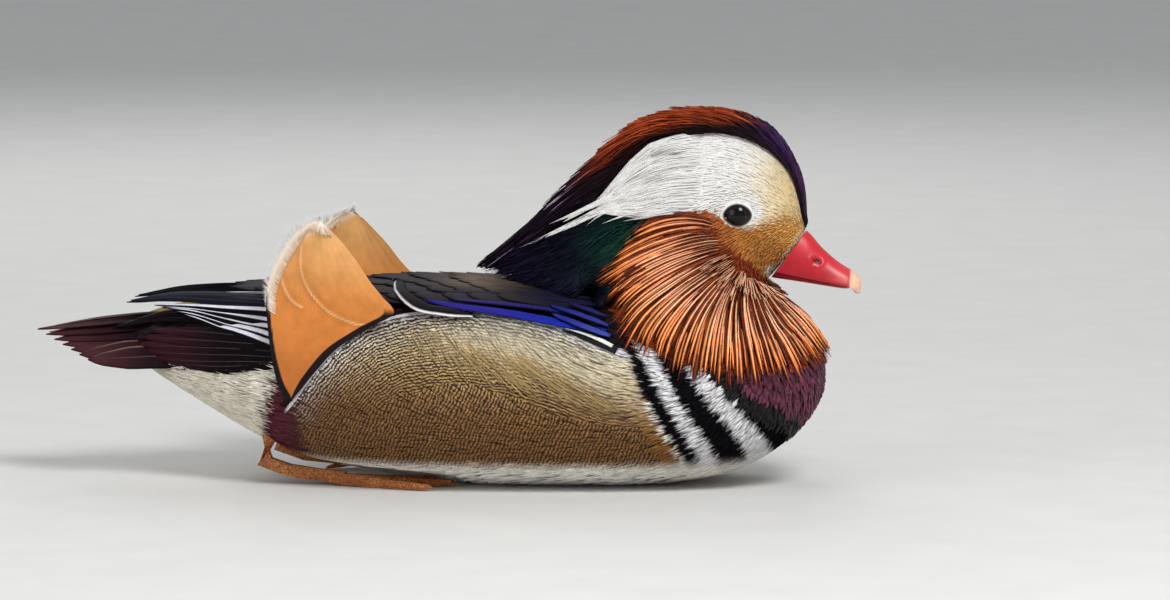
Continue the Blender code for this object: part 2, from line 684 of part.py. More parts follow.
def crest_plumes():
    """The crest plume by plume, in rows that rise from the crown towards the crest's outline."""
    rng = np.random.default_rng(SEED + 1)
    share = np.linspace(0, 1, 6)
    width = np.array([0.55, 0.92, 1.0, 0.90, 0.58, 0.07])
    thick = CREST_THICK * np.array([1.0, 1.0, 0.95, 0.8, 0.55, 0.15])
    pieces = []
    for row, (root_y, tip_y, deep, half, roots, tips) in enumerate(CREST_ROWS):
        for side in (-1, 1) if root_y else (1,):
            for k, (root, tip) in enumerate(zip(roots, tips)):
                tip = tip - rng.uniform(0, 1.2)
                angle = root + (tip - root) * share
                across = root_y + (tip_y - root_y) * share**1.4
                depth = np.interp(share, [0, 0.16, 0.45, 1], [1.35, 1.0, 0.14 + 0.86 * deep, deep])
                path = crest_place(angle, across, depth) * [1, side, 1]
                if root_y == 0:
                    path[:, 2] -= 0.4 * thick * (share > 0.5)
                turn = np.radians(angle)
                lean = side * across * 60
                facing = np.stack([np.cos(turn), lean, np.sin(turn)], 1)
                pieces.append(plume(f"crest_{row}_{side}_{k}", path, half * width, facing, thick))
    return pieces


def brow_plumes():
    """The white plumes that sweep back from behind the eye along the foot of the crest."""
    width = np.array([0.0028, 0.0034, 0.0028, 0.0017, 0.0003])
    thick = np.array([0.0020, 0.0018, 0.0015, 0.0011, 0.0003])
    pieces = []
    for side in (-1, 1):
        for k, (angle, turn, tip) in enumerate(BROW_PLUMES):
            turn = math.radians(turn)
            start = on_neck(angle, turn, -0.0020)
            second = on_neck(angle + 8, turn - 0.06, 0.0004)
            path = curve([start, second, (second + np.array(tip)) / 2 + [0, 0.0012, 0], tip], 5)
            path *= [1, side, 1]
            pieces.append(plume(f"brow_{side}_{k}", path, width, (0, side, 0.6), thick))
    return pieces


def eye_y():
    """How far out the head's side is at the eye."""
    angle = math.degrees(math.atan2(EYE_Z - PIVOT_Z, EYE_X - PIVOT_X))
    reach = math.hypot(EYE_Z - PIVOT_Z, EYE_X - PIVOT_X)
    psi = np.linspace(0.05, math.pi - 0.05, 200)
    points = neck_skin(angle, psi)
    r = np.hypot(points[:, 0] - PIVOT_X, points[:, 2] - PIVOT_Z)
    return float(points[np.argmin(np.abs(r - reach)), 1])


def eye_centre(side):
    return np.array([EYE_X, side * (eye_y() - EYE_RADIUS + EYE_OUT), EYE_Z])


def lid_ring(side):
    """The rim of the lids round the opening of the eye."""
    turn = 2 * np.pi * np.arange(16) / 16
    around = 2 * np.pi * np.arange(5) / 5
    middle = np.array([EYE_X, side * (eye_y() + 0.0002), EYE_Z])
    rings = []
    for a in turn:
        out = np.array([math.cos(a), 0, math.sin(a)])
        base = middle + np.array([LID_LONG * math.cos(a), 0, LID_TALL * math.sin(a)])
        lift = [math.cos(b) * out + [0, math.sin(b), 0] for b in around]
        rings.append([base + LID_THICK * step for step in lift])
    rings = np.array(rings)
    count, sides = rings.shape[:2]
    faces = []
    for i in range(count):
        for j in range(sides):
            a, b = i * sides + j, i * sides + (j + 1) % sides
            c, d = (b + sides) % (count * sides), (a + sides) % (count * sides)
            faces += [(a, b, c), (a, c, d)]
    return make(f"lid_{side}", rings.reshape(-1, 3), faces)


def bill_plane(offset):
    """The plane where the bill meets the feathers: a point on it and its forward normal."""
    down = np.array([BILL_GAPE[0] - BILL_TOP[0], 0, BILL_GAPE[1] - BILL_TOP[1]])
    down /= np.linalg.norm(down)
    normal = np.array([-down[2], 0, down[0]])
    return np.array([BILL_TOP[0], 0, BILL_TOP[1]]) + offset * normal, normal


def head(mat):
    """The head from the bill's base to the nape, with the crest, the brow plumes and the lids."""
    body = loft("head", neck_rings(72, HEAD_CUT_ANGLE, 16, -GAP / 2), mat)
    point, normal = bill_plane(-GAP / 2)
    cut_by_plane(body, point, normal)
    lids = [lid_ring(side) for side in (-1, 1)]
    boolean(body, crest_plumes() + brow_plumes() + lids, "UNION")
    sockets = [
        ball(f"socket_{side}", eye_centre(side), [EYE_RADIUS + GAP] * 3) for side in (-1, 1)
    ]
    return boolean(body, sockets, "DIFFERENCE")


def eye(side, mat):
    obj = ball("eye_left" if side > 0 else "eye_right", eye_centre(side), [EYE_RADIUS] * 3)
    obj.data.materials.append(mat)
    return obj


def bill_axis():
    """Start, direction, up and length of the bill, along the line of the mouth."""
    start = np.array([BILL_GAPE[0] + 0.0010, 0, BILL_GAPE[1] - 0.0012])
    tip = np.array([BILL_TIP[0] - 0.0010, 0, BILL_TIP[1] - 0.0022])
    way = tip - start
    length = float(np.linalg.norm(way))
    way /= length
    return start, way, np.array([-way[2], 0, way[0]]), length


def bill_part(name, stations, lift, mat):
    """One half of the bill: broad at the mouth, narrowing to the culmen above."""
    start, way, up, length = bill_axis()
    turn = 2 * np.pi * np.arange(BILL_SIDES) / BILL_SIDES
    c, s = np.cos(turn), np.sin(turn)
    rings = []
    for share, top, low, half in stations:
        z = np.where(s > 0, top * np.abs(s) ** BILL_PEAK, -low * np.abs(s) ** BILL_FULL)
        y = half * np.sign(c) * np.abs(c) ** BILL_FULL
        middle = start + way * share * length + up * lift
        rings.append(middle + y[:, None] * [0, 1, 0] + z[:, None] * up)
    body = loft(name, rings, mat)
    point, normal = bill_plane(GAP / 2)
    return cut_by_plane(body, point, -normal)


def bill(mat):
    upper = bill_part("bill_upper", UPPER_BILL, GAP / 2, mat)
    start, way, up, length = bill_axis()
    share, height, long, deep, tall = NOSTRIL
    shares, tops, _, halves = np.array(UPPER_BILL).T
    rise = math.asin((height / np.interp(share, shares, tops)) ** (1 / BILL_PEAK))
    across = np.interp(share, shares, halves) * math.cos(rise) ** BILL_FULL
    at = start + way * share * length + up * height
    pits = [
        ball(f"nostril_{side}", at + [0, side * (across + 0.0010), 0], (long, deep, tall), 8, 6)
        for side in (-1, 1)
    ]
    boolean(upper, pits, "DIFFERENCE")
    bill_part("bill_lower", LOWER_BILL, -GAP / 2, mat)


def wing(side, mat, torso_tree):
    """The folded wing lying on the back, with its primaries crossing over the rump."""
    name = "wing_left" if side > 0 else "wing_right"
    rows, columns = 10, 6
    back = np.linspace(0, 1, rows)[:, None] ** 1.25
    share = np.linspace(0, 1, columns)
    x = WING_FRONT + (WING_REAR - WING_FRONT) * back + WING_SHOULDER * share * (1 - back)
    outer = np.radians(smooth(WING_EDGE_X, WING_EDGE, x))
    across = WING_SPINE + (torso_skin(x, outer)[..., 1] - WING_SPINE) * share
    phi = torso_angle(x, across)
    bulge = np.sin(np.pi * (0.08 + 0.84 * share)) ** 0.5 * np.sin(np.linspace(0.2, 2.9, rows))[:, None]
    low = on_torso(x, phi, np.full(phi.shape, GAP + 0.0004))
    high = on_torso(x, phi, 0.0014 + 0.0020 * bulge)
    body = plate(name, high, low, mat)
    pieces = []
    width = np.array([0.55, 0.95, 1.0, 0.82, 0.14])
    along = np.array([0, 0.3, 0.6, 0.85, 1.0])
    for root_y, tip_y, length, half, roots in WING_TIERS:
        for k, root in enumerate(roots):
            path_x = root - length * along
            turn = torso_angle(path_x, root_y + (tip_y - root_y) * along)
            height = np.interp(along, [0, 0.3, 1], [0.0010, 0.0036, WING_TOP])
            path = on_torso(path_x, turn, height)
            facing = path - on_torso(path_x, turn, height - 0.001)
            pieces.append(vane(f"vane_{root_y}_{k}", path, half * width, facing, VANE_THICK))
    for root_y, tip_y, tip_x, half in TERTIALS:
        path_x = -0.030 + (tip_x + 0.030) * along
        turn = torso_angle(path_x, root_y + (tip_y - root_y) * along)
        height = np.interp(along, [0, 0.3, 1], [0.0010, 0.0040, 0.0085])
        path = on_torso(path_x, turn, height)
        facing = path - on_torso(path_x, turn, height - 0.001)
        pieces.append(vane(f"tertial_{root_y}", path, half * width, facing, VANE_THICK))
    boolean(body, pieces + primaries(torso_tree), "UNION")
    boolean(body, [torso_clearance()], "DIFFERENCE")
    return body if side > 0 else mirrored(body)


def primaries(torso_tree):
    """The long flight feathers, stacked like tiles with the innermost on top."""
    pieces = []
    for k in range(PRIMARIES):
        t = k / (PRIMARIES - 1)
        root, flank, rump, tip = (
            [np.interp(t, (0, 1), np.broadcast_to(value, 2)) for value in place]
            for place in (PRIMARY_ROOT, PRIMARY_SIDE, PRIMARY_RUMP, PRIMARY_TIP)
        )
        tip[0] += PRIMARY_SHORTER * abs(t - 0.25)
        points = [
            on_torso(root[0], math.radians(root[1]), root[2]),
            on_torso(flank[0], math.radians(flank[1]), flank[2]),
            rump,
            tip,
        ]
        path = curve(points, 6)
        path, over = lifted(path, torso_tree, 0.0018)
        lean = np.linspace(0.5 + 1.4 * t, 0.35 + 0.3 * t, 6)
        facing = np.stack([0 * lean, lean, 1 + 0 * lean], 1)
        hug = np.array([1.0, 1.0, 0.8, 0.2, 0.0, 0.0])[:, None]
        facing = facing * (1 - hug) + over * hug * np.linalg.norm(facing, axis=1, keepdims=True)
        path += facing * (PRIMARY_STEP * (1 - t) * np.linspace(0.1, 0.35, 6))[:, None]
        width = PRIMARY_HALF * np.array([0.6, 1.0, 1.0, 0.92, 0.68, 0.1])
        pieces.append(vane(f"primary_{k}", path, width, facing, 0.0006))
    return pieces


def plate(name, upper, lower, mat):
    """A closed sheet between two grids of points, split alike on both faces."""
    rings = np.concatenate([upper, lower[:, ::-1]], 1)
    rows, sides = rings.shape[:2]
    half = sides // 2
    faces = ring_faces(rows, sides, range(half, sides - 1))
    for row in (0, rows - 1):
        base = row * sides
        for j in range(half - 1):
            a, b = base + j, base + j + 1
            c, d = base + sides - 2 - j, base + sides - 1 - j
            faces += [(a, b, c), (a, c, d)]
    return make(name, rings.reshape(-1, 3), faces, mat)


def sail(side, mat, torso_tree, wing_tree):
    """One broad orange feather that stands up from behind the top of the flank."""
    name = "sail_left" if side > 0 else "sail_right"
    rows = np.array(SAIL_ROWS)
    share = np.linspace(0, 1, 8)[None, :]
    x = rows[:, 0:1] * (1 - share) + rows[:, 2:3] * share
    z = rows[:, 1:2] * (1 - share) + rows[:, 3:4] * share
    left = int(side > 0)
    free = np.maximum(0.0, z - SAIL_FREE_Z) * SAIL_RISE[left]
    z = np.minimum(z, SAIL_FREE_Z) + free
    x = x + SAIL_LEAN[left] * free
    y = np.zeros_like(x)
    for i, j in np.ndindex(x.shape):
        low_z = min(z[i, j], SAIL_FREE_Z - 0.004)
        under = [side_point(torso_tree, x[i, j], low_z, 1)[1] + GAP + 0.0009]
        for dx in np.linspace(-0.004, 0.004, 5):
            for dz in np.linspace(-0.004, 0.004, 5):
                under.append(side_point(wing_tree, x[i, j] + dx, z[i, j] + dz, 1)[1] + 0.0018)
        y[i, j] = max(under)
    y[free > 0] = np.maximum(y[free > 0], 0.0450 + 0.02 * free[free > 0])
    padded = np.pad(y, 1, mode="edge")
    y = np.maximum(y, (padded[:-2, 1:-1] + padded[2:, 1:-1] + padded[1:-1, :-2] + padded[1:-1, 2:]) / 4)
    y = y + SAIL_CUP * np.sin(np.pi * share) * np.minimum(free / 0.02, 1)
    inner = np.stack([x, side * y, z], -1)
    outer = inner + [0, side * SAIL_THICK, 0.0002]
    return plate(name, outer, inner, mat)


def tail(mat):
    """The rump and under-tail behind the torso, with the fan of tail feathers."""
    front, rear = TAIL_CUT_X - GAP, TORSO[-1][0]
    rings = torso_rings(front, rear + 0.0006, 8)
    body = loft("tail", rings, mat, end=(rear, 0, TORSO[-1][4]))
    width = TAIL_HALF * np.array([0.6, 1.0, 1.0, 0.72, 0.08])
    pieces = []
    for side in (-1, 1):
        for k in range(TAIL_PAIRS):
            t = k / (TAIL_PAIRS - 1)
            points = [
                (np.array(a) * (1 - t) + np.array(b) * t) * [1, side, 1]
                for a, b in zip(TAIL_MIDDLE, TAIL_OUTER)
            ]
            lean = side * (0.25 + 0.75 * t)
            pieces.append(
                vane(f"rectrix_{side}_{k}", curve(points, 5), width, (0, lean, 1), 0.0006)
            )
    return boolean(body, pieces, "UNION")


def leg(side, mat):
    """The shank lying on the floor and the webbed foot tucked forwards under the flank."""
    ankle, toes = np.array(ANKLE), np.array(TOES_AT)
    path = curve([(-0.072, ankle[1], 0.022), ankle, (-0.060, LEG_Y - 0.003, 0.0056), toes], 5)
    radius = [0.0044, 0.0038, 0.0030, 0.0028, 0.0031]
    shank = tube("leg_left" if side > 0 else "leg_right", path, radius, 6)
    shank.data.materials.append(mat)
    pieces = []
    for k, (tx, ty) in enumerate(TOE_TIPS):
        tip = np.array([tx, ty, 0.0017])
        middle = (toes + tip) / 2 - [0, 0, 0.0006]
        claw = [tip + [0.0022, 0, 0.0004], tip + [0.0050, 0, -0.0009]]
        toe = [toes - [0.002, 0, 0.0004], middle, tip] + claw
        pieces.append(tube(f"toe_{k}", toe, [0.0026, 0.0021, 0.0015, 0.0008, 0.0002], 5))
    hind = [toes - [0, 0.002, 0], (-0.050, LEG_Y - 0.009, 0.0022), (-0.054, LEG_Y - 0.012, 0.0014)]
    pieces.append(tube("toe_hind", hind, [0.0016, 0.0013, 0.0006], 5))
    ends = [np.array(tip) - [0.003, 0] for tip in TOE_TIPS]
    outline = [toes[:2] - [0.001, 0.001], ends[0], (ends[0] + ends[1]) / 2 - [0.004, 0], ends[1],
               (ends[1] + ends[2]) / 2 - [0.004, 0], ends[2], toes[:2] - [0.001, -0.001]]
    low = [(p[0], p[1], 0.0008) for p in outline]
    high = [(p[0], p[1], 0.0018) for p in outline]
    n = len(outline)
    faces = [tuple(range(n)), tuple(range(n, 2 * n))]
    faces += [(j, (j + 1) % n, n + (j + 1) % n, n + j) for j in range(n)]
    pieces.append(make("web", low + high, faces))
    boolean(shank, pieces, "UNION")
    flatten_sole(shank)
    boolean(shank, [torso_clearance()], "DIFFERENCE")
    return shank if side > 0 else mirrored(shank)


def flatten_sole(obj):
    """Presses whatever would lie below the floor flat onto it."""
    for vert in obj.data.vertices:
        vert.co.z = max(vert.co.z, 0.0)


def build():
    clear_scene()
    buff = material("buff", (0.62, 0.45, 0.22))
    chestnut = material("chestnut", (0.42, 0.12, 0.04))
    rust = material("rust", (0.62, 0.24, 0.06))
    red = material("bill_red", (0.70, 0.05, 0.06), 0.35)
    dark = material("eye_dark", (0.02, 0.01, 0.01), 0.05)
    blue = material("wing_blue", (0.03, 0.03, 0.20), 0.4)
    orange = material("sail_orange", (0.80, 0.36, 0.09))
    brown = material("tail_brown", (0.10, 0.04, 0.05))
    yellow = material("leg_yellow", (0.65, 0.42, 0.10), 0.5)
    whole = loft("whole_torso", torso_rings(TORSO[0][0] - 0.0006, TORSO[-1][0] + 0.0006, 34))
    torso_tree = surface_tree(whole)
    bpy.data.objects.remove(whole)
    torso(buff)
    neck(rust, torso_tree)
    head(chestnut)
    bill(red)
    tail(brown)
    wing_tree = surface_tree(wing(1, blue, torso_tree))
    wing(-1, blue, torso_tree)
    for side in (-1, 1):
        eye(side, dark)
        sail(side, orange, torso_tree, wing_tree)
        leg(side, yellow)
    for obj in bpy.data.objects:
        merge_flat(obj)


build()
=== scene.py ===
"""The drake mandarin duck as it looks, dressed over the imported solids.

Metres, +X towards the bill, +Y to the bird's left, +Z up. The right side is made first and the
left side is its mirror image with other random draws.
"""

import math

import bmesh
import bpy
import numpy as np
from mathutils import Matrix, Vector
from mathutils.bvhtree import BVHTree


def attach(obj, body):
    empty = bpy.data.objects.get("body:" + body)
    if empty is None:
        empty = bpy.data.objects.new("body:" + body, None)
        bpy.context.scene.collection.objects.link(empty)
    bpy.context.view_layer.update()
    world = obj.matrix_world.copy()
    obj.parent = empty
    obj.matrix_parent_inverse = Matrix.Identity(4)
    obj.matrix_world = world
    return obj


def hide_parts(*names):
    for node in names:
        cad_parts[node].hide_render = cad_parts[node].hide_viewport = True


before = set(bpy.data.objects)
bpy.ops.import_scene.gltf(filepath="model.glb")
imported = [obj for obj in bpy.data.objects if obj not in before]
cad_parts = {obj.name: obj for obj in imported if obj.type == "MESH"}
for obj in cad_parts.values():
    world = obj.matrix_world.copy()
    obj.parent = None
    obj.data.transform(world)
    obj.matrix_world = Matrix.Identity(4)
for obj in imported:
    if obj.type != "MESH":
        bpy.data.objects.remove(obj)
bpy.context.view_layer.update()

SEED = 11
VOXEL = 0.0013
SKIN_DEPTH_BODY, SKIN_DEPTH_HEAD = 0.0014, 0.0008
TUFT_PATCH = 0.0014

# The side view that markings are laid out in: 1170 wide over this many metres, aimed at AIM
AZIMUTH, ELEVATION = math.radians(5), math.radians(6)
AIM = np.array([0.058, 0.0, 0.076])
VIEW_WIDTH = 0.492
VIEW_MIDDLE = (585, 300)
PER_METRE = 2 * VIEW_MIDDLE[0] / VIEW_WIDTH
CAMERA_FAR = 3.0
RIGHT = np.array([math.cos(AZIMUTH), math.sin(AZIMUTH), 0.0])
BACK = np.array([math.sin(AZIMUTH) * math.cos(ELEVATION),
                 -math.cos(AZIMUTH) * math.cos(ELEVATION), math.sin(ELEVATION)])
UP = np.cross(BACK, RIGHT)

# The shape of the body, with the same named sizes as the solids
TORSO = (
    (0.1595, 0.0460, 0.0460, 0.0000, 0.0460),
    (0.1550, 0.0600, 0.0310, 0.0220, 0.0450),
    (0.1450, 0.0700, 0.0190, 0.0350, 0.0440),
    (0.1300, 0.0745, 0.0090, 0.0450, 0.0430),
    (0.1050, 0.0775, 0.0010, 0.0545, 0.0420),
    (0.0700, 0.0800, -0.0015, 0.0610, 0.0420),
    (0.0300, 0.0815, -0.0015, 0.0640, 0.0420),
    (-0.0100, 0.0820, 0.0000, 0.0625, 0.0425),
    (-0.0450, 0.0795, 0.0060, 0.0550, 0.0450),
    (-0.0750, 0.0755, 0.0165, 0.0435, 0.0480),
    (-0.1000, 0.0715, 0.0300, 0.0310, 0.0530),
    (-0.1200, 0.0675, 0.0420, 0.0205, 0.0560),
    (-0.1350, 0.0635, 0.0520, 0.0115, 0.0580),
    (-0.1430, 0.0590, 0.0590, 0.0000, 0.0590),
)
BACK_POWER, FLANK_POWER = 0.77, 0.80
PIVOT_X, PIVOT_Z = 0.1460, 0.0790
HEAD_NECK = (
    (70, 0.0120, 0.0230, 0.0105, 0.05),
    (80, 0.0125, 0.0320, 0.0135, 0.05),
    (90, 0.0128, 0.0520, 0.0162, 0.10),
    (102, 0.0128, 0.0690, 0.0182, 0.15),
    (116, 0.0127, 0.0810, 0.0197, 0.22),
    (132, 0.0126, 0.0870, 0.0208, 0.32),
    (150, 0.0128, 0.0885, 0.0235, 0.36),
    (168, 0.0118, 0.0880, 0.0310, 0.30),
    (190, 0.0085, 0.0850, 0.0395, 0.15),
    (215, 0.0080, 0.0740, 0.0390, 0.05),
)
HEAD_END = 150
FACE_NARROW, FACE_REACH = 0.70, 0.0150
CREST = (
    (79, 0.0281), (82.3, 0.0398), (89.3, 0.0563), (99.4, 0.0734), (116.6, 0.0880),
    (131.5, 0.0977), (150, 0.1040), (160.8, 0.1110), (169.9, 0.1215), (175.4, 0.1340),
)
CREST_UNDER_RADIUS = 0.0902
CREST_UNDER_END = (0.0190, 0.0905)
BILL_TOP = (0.1513, 0.1066)
BILL_GAPE = (0.1387, 0.0897)
BILL_TIP = (0.1750, 0.0840)
UPPER_BILL = (
    (-0.15, 0.0225, 0.0000, 0.0088),
    (0.10, 0.0212, 0.0000, 0.0088),
    (0.25, 0.0189, 0.0000, 0.0085),
    (0.44, 0.0138, 0.0000, 0.0078),
    (0.58, 0.0108, 0.0000, 0.0074),
    (0.70, 0.0087, 0.0000, 0.0071),
    (0.82, 0.0071, 0.0000, 0.0066),
    (0.88, 0.0062, 0.0000, 0.0060),
    (0.94, 0.0050, 0.0022, 0.0046),
    (0.98, 0.0036, 0.0026, 0.0030),
    (1.00, 0.0015, 0.0020, 0.0012),
)
LOWER_BILL = (
    (-0.20, 0.0000, 0.0026, 0.0074),
    (0.00, 0.0000, 0.0023, 0.0072),
    (0.30, 0.0000, 0.0018, 0.0066),
    (0.60, 0.0000, 0.0014, 0.0060),
    (0.78, 0.0000, 0.0011, 0.0050),
    (0.86, 0.0000, 0.0007, 0.0034),
)
BILL_PEAK, BILL_FULL = 1.15, 0.85
NOSTRIL = (0.42, 0.0082, 0.0023, 0.0012)
EYE_X, EYE_Z = 0.1235, 0.1142
EYE_RADIUS, EYE_OUT = 0.0062, 0.0022
EYE_LONG, EYE_TALL = 0.0056, 0.0044
FOOT_WELL_AT = (-0.024, 0.031, -0.001)
FOOT_WELL_REACH = (0.041, 0.021, 0.0100)

# Colours as seen, from 0 to 255
WHITE = (238, 236, 232)
CREAM = (238, 212, 158)
OCHRE = (214, 160, 84)
TAN = (186, 122, 58)
RUST = (170, 78, 30)
HACKLE_DEEP = (136, 56, 22)
SHAFT = (255, 204, 132)
CREST_DARK = (30, 15, 30)
NAPE_GREEN = (14, 38, 33)
NAPE_BLUE = (9, 13, 28)
MAROON = (96, 44, 64)
BLACK = (16, 13, 17)
BAR_WHITE = (236, 234, 236)
BUFF_TOP = (224, 210, 176)
BUFF = (200, 168, 112)
BUFF_DEEP = (142, 100, 54)
BAR_DARK = (60, 36, 20)
BELLY = (236, 232, 224)
UNDERTAIL = (238, 230, 214)
RUMP = (34, 24, 28)
RUMP_MAROON = (84, 20, 38)
GOLD = (210, 180, 122)


def linear(colour):
    c = np.asarray(colour, float) / 255
    return np.where(c <= 0.04045, c / 12.92, ((c + 0.055) / 1.055) ** 2.4)


def step(low, high, x):
    t = np.clip((np.asarray(x, float) - low) / (high - low), 0, 1)
    return t * t * (3 - 2 * t)


def blend(a, b, t):
    """From colour a to colour b by t. A tuple is a colour as seen, an array is linear light."""
    a, b = (linear(c) if isinstance(c, tuple) else c for c in (a, b))
    t = np.asarray(t, float)[..., None]
    return a * (1 - t) + b * t


def draws(side, key):
    """The random draws of one piece on one side."""
    return np.random.default_rng([SEED, side + 1, key])


def down_at(line, u):
    """How far down in the side view a line lies at u."""
    return np.interp(u, *np.array(line).T)


def along_line(line, index):
    """Places at broken indices along a line of points."""
    at_point = np.arange(len(line))
    return np.stack([np.interp(index, at_point, part) for part in line.T], -1)


def between(grid, i, j, p, q):
    """Values between the rows i and i + 1 and the columns j and j + 1 of a grid."""
    return (grid[i, j] * (1 - p) * (1 - q) + grid[i + 1, j] * p * (1 - q)
            + grid[i, j + 1] * (1 - p) * q + grid[i + 1, j + 1] * p * q)


def relaxed(grid):
    """A grid of values, each drawn towards its four neighbours."""
    wide = np.pad(grid, 1, mode="edge")
    return (wide[:-2, 1:-1] + wide[2:, 1:-1] + wide[1:-1, :-2] + wide[1:-1, 2:] + 2 * grid) / 6


def unit(v):
    return v / np.maximum(np.linalg.norm(v, axis=-1, keepdims=True), 1e-12)


def smooth(knots, values, at):
    """Monotone cubic through the knots, so that a profile never overshoots its stations."""
    knots, values, at = (np.asarray(a, float) for a in (knots, values, at))
    gap = np.diff(knots)
    slope = np.diff(values) / gap
    both = slope[:-1] + slope[1:]
    mean = 2 * slope[:-1] * slope[1:] / np.where(np.abs(both) < 1e-12, 1, both)
    inner = np.where(slope[:-1] * slope[1:] > 0, mean, 0)
    tangent = np.concatenate([[slope[0]], inner, [slope[-1]]])
    i = np.clip(np.searchsorted(knots, at) - 1, 0, len(gap) - 1)
    u = np.clip((at - knots[i]) / gap[i], 0, 1)
    rise = values[i + 1] - values[i]
    return (
        values[i]
        + rise * u * u * (3 - 2 * u)
        + gap[i] * u * (1 - u) * ((1 - u) * tangent[i] - u * tangent[i + 1])
    )


def torso_turn(x):
    front, rear = TORSO[0][0], TORSO[-1][0]
    return np.arccos(np.clip((2 * x - front - rear) / (front - rear), -1, 1))


def torso_skin(x, phi):
    """Points of the torso at x, with phi 0 on the back, 90 degrees on the bird's left."""
    x, phi = np.broadcast_arrays(np.asarray(x, float), np.asarray(phi, float))
    table = np.array(TORSO)
    knots = torso_turn(table[:, 0])
    top, bottom, half, middle = (smooth(knots, table[:, k], torso_turn(x)) for k in range(1, 5))
    c, s = np.cos(phi), np.sin(phi)
    y = half * np.sign(s) * np.abs(s) ** FLANK_POWER
    up = middle + (top - middle) * np.abs(c) ** BACK_POWER
    down = middle - (middle - bottom) * np.abs(c) ** FLANK_POWER
    return np.stack([x, y, np.maximum(np.where(c > 0, up, down), 0)], -1)


def bill_plane():
    """The plane where the bill meets the feathers: a point on it and its forward normal."""
    down = unit(np.array([BILL_GAPE[0] - BILL_TOP[0], 0, BILL_GAPE[1] - BILL_TOP[1]]))
    return np.array([BILL_TOP[0], 0, BILL_TOP[1]]), np.array([-down[2], 0, down[0]])


def neck_skin(angle, psi):
    """Points of the head and neck at an angle in degrees, with psi 0 on the crown or nape."""
    angle, psi = np.broadcast_arrays(np.asarray(angle, float), np.asarray(psi, float))
    table = np.array(HEAD_NECK)
    near, far, half, egg = (smooth(table[:, 0], table[:, k], angle) for k in range(1, 5))
    r = (near + far) / 2 + (far - near) / 2 * np.cos(psi)
    turn = np.radians(angle)
    x, z = PIVOT_X + r * np.cos(turn), PIVOT_Z + r * np.sin(turn)
    point, normal = bill_plane()
    behind = (point[0] - x) * normal[0] + (point[2] - z) * normal[2]
    near_bill = 1 - np.clip(behind / FACE_REACH, 0, 1)
    narrow = 1 - (1 - FACE_NARROW) * near_bill**2 * (3 - 2 * near_bill)
    y = half * np.sin(psi) * np.exp(-egg * np.cos(psi)) * narrow
    return np.stack([x, y, z], -1)


def raised(skin, a, b, height, step_a, step_b):
    """Points at a height over skin(a, b), along its outward normal."""
    da = skin(a + step_a, b) - skin(a - step_a, b)
    db = skin(a, b + step_b) - skin(a, b - step_b)
    return skin(a, b) + unit(np.cross(da, db)) * np.asarray(height, float)[..., None]


def on_torso(x, phi, height):
    return raised(torso_skin, np.asarray(x, float), phi, height, 0.0005, 0.01)


def torso_angle(x, across):
    """The angle round the torso at which its upper side is this far across."""
    table = np.array(TORSO)
    half = smooth(torso_turn(table[:, 0]), table[:, 3], torso_turn(np.asarray(x, float)))
    return np.arcsin(np.clip(np.asarray(across) / half, 0, 0.99) ** (1 / FLANK_POWER))


def curve(points, count):
    """Count points along a smooth curve through a few given ones."""
    points = np.asarray(points, float)
    knots = np.concatenate([[0], np.cumsum(np.linalg.norm(np.diff(points, axis=0), axis=1))])
    at = np.linspace(0, knots[-1], count)
    slope = np.gradient(points, knots, axis=0)
    i = np.clip(np.searchsorted(knots, at) - 1, 0, len(knots) - 2)
    gap = (knots[i + 1] - knots[i])[:, None]
    u = (at[:, None] - knots[i][:, None]) / gap
    return (
        points[i] * (1 + 2 * u) * (1 - u) ** 2
        + points[i + 1] * u * u * (3 - 2 * u)
        + gap * u * (1 - u) * ((1 - u) * slope[i] - u * slope[i + 1])
    )


def side_view(points):
    """Where points of either side lie in the side view, as across and down."""
    p = np.array(points, float)
    p[..., 1] = -np.abs(p[..., 1])
    d = (p - AIM) * PER_METRE
    return np.stack([VIEW_MIDDLE[0] + d @ RIGHT, VIEW_MIDDLE[1] - d @ UP], -1)


def place(u, v, y):
    """The point at this distance from the midline that lies at u, v in the side view."""
    u, v, y = (np.asarray(a, float)[..., None] for a in (u, v, y))
    flat = AIM + RIGHT * (u - VIEW_MIDDLE[0]) / PER_METRE + UP * (VIEW_MIDDLE[1] - v) / PER_METRE
    return flat + BACK * (y - flat[..., 1:2]) / BACK[1]


def at(tree, u, v, lift=0.0):
    """The point of a surface that shows at u, v in the side view, or the nearest to it."""
    flat = AIM + RIGHT * (u - VIEW_MIDDLE[0]) / PER_METRE + UP * (VIEW_MIDDLE[1] - v) / PER_METRE
    spot, normal, _, _ = tree.ray_cast(Vector(flat + BACK * 0.4), Vector(-BACK))
    if spot is None:
        tries = [tree.find_nearest(Vector(flat + BACK * t)) for t in np.linspace(-0.02, 0.08, 41)]
        spot, normal = min(tries, key=lambda found: found[3])[:2]
    return np.array(spot) + np.array(normal) * lift


def inside(outline, uv):
    """Which places lie inside a closed outline."""
    line = np.asarray(outline, float)
    found = np.zeros(uv.shape[:-1], bool)
    for (au, av), (bu, bv) in zip(line, np.roll(line, -1, axis=0)):
        cross = (av > uv[..., 1]) != (bv > uv[..., 1])
        reach = au + (bu - au) * (uv[..., 1] - av) / (bv - av if bv != av else 1)
        found ^= cross & (uv[..., 0] < reach)
    return found


def distance(line, uv):
    """How far places are from a line of points."""
    line = np.asarray(line, float)
    best = np.full(uv.shape[:-1], 1e9)
    for a, b in zip(line[:-1], line[1:]):
        t = np.clip(((uv - a) @ (b - a)) / ((b - a) @ (b - a)), 0, 1)
        best = np.minimum(best, np.linalg.norm(uv - a - t[..., None] * (b - a), axis=-1))
    return best


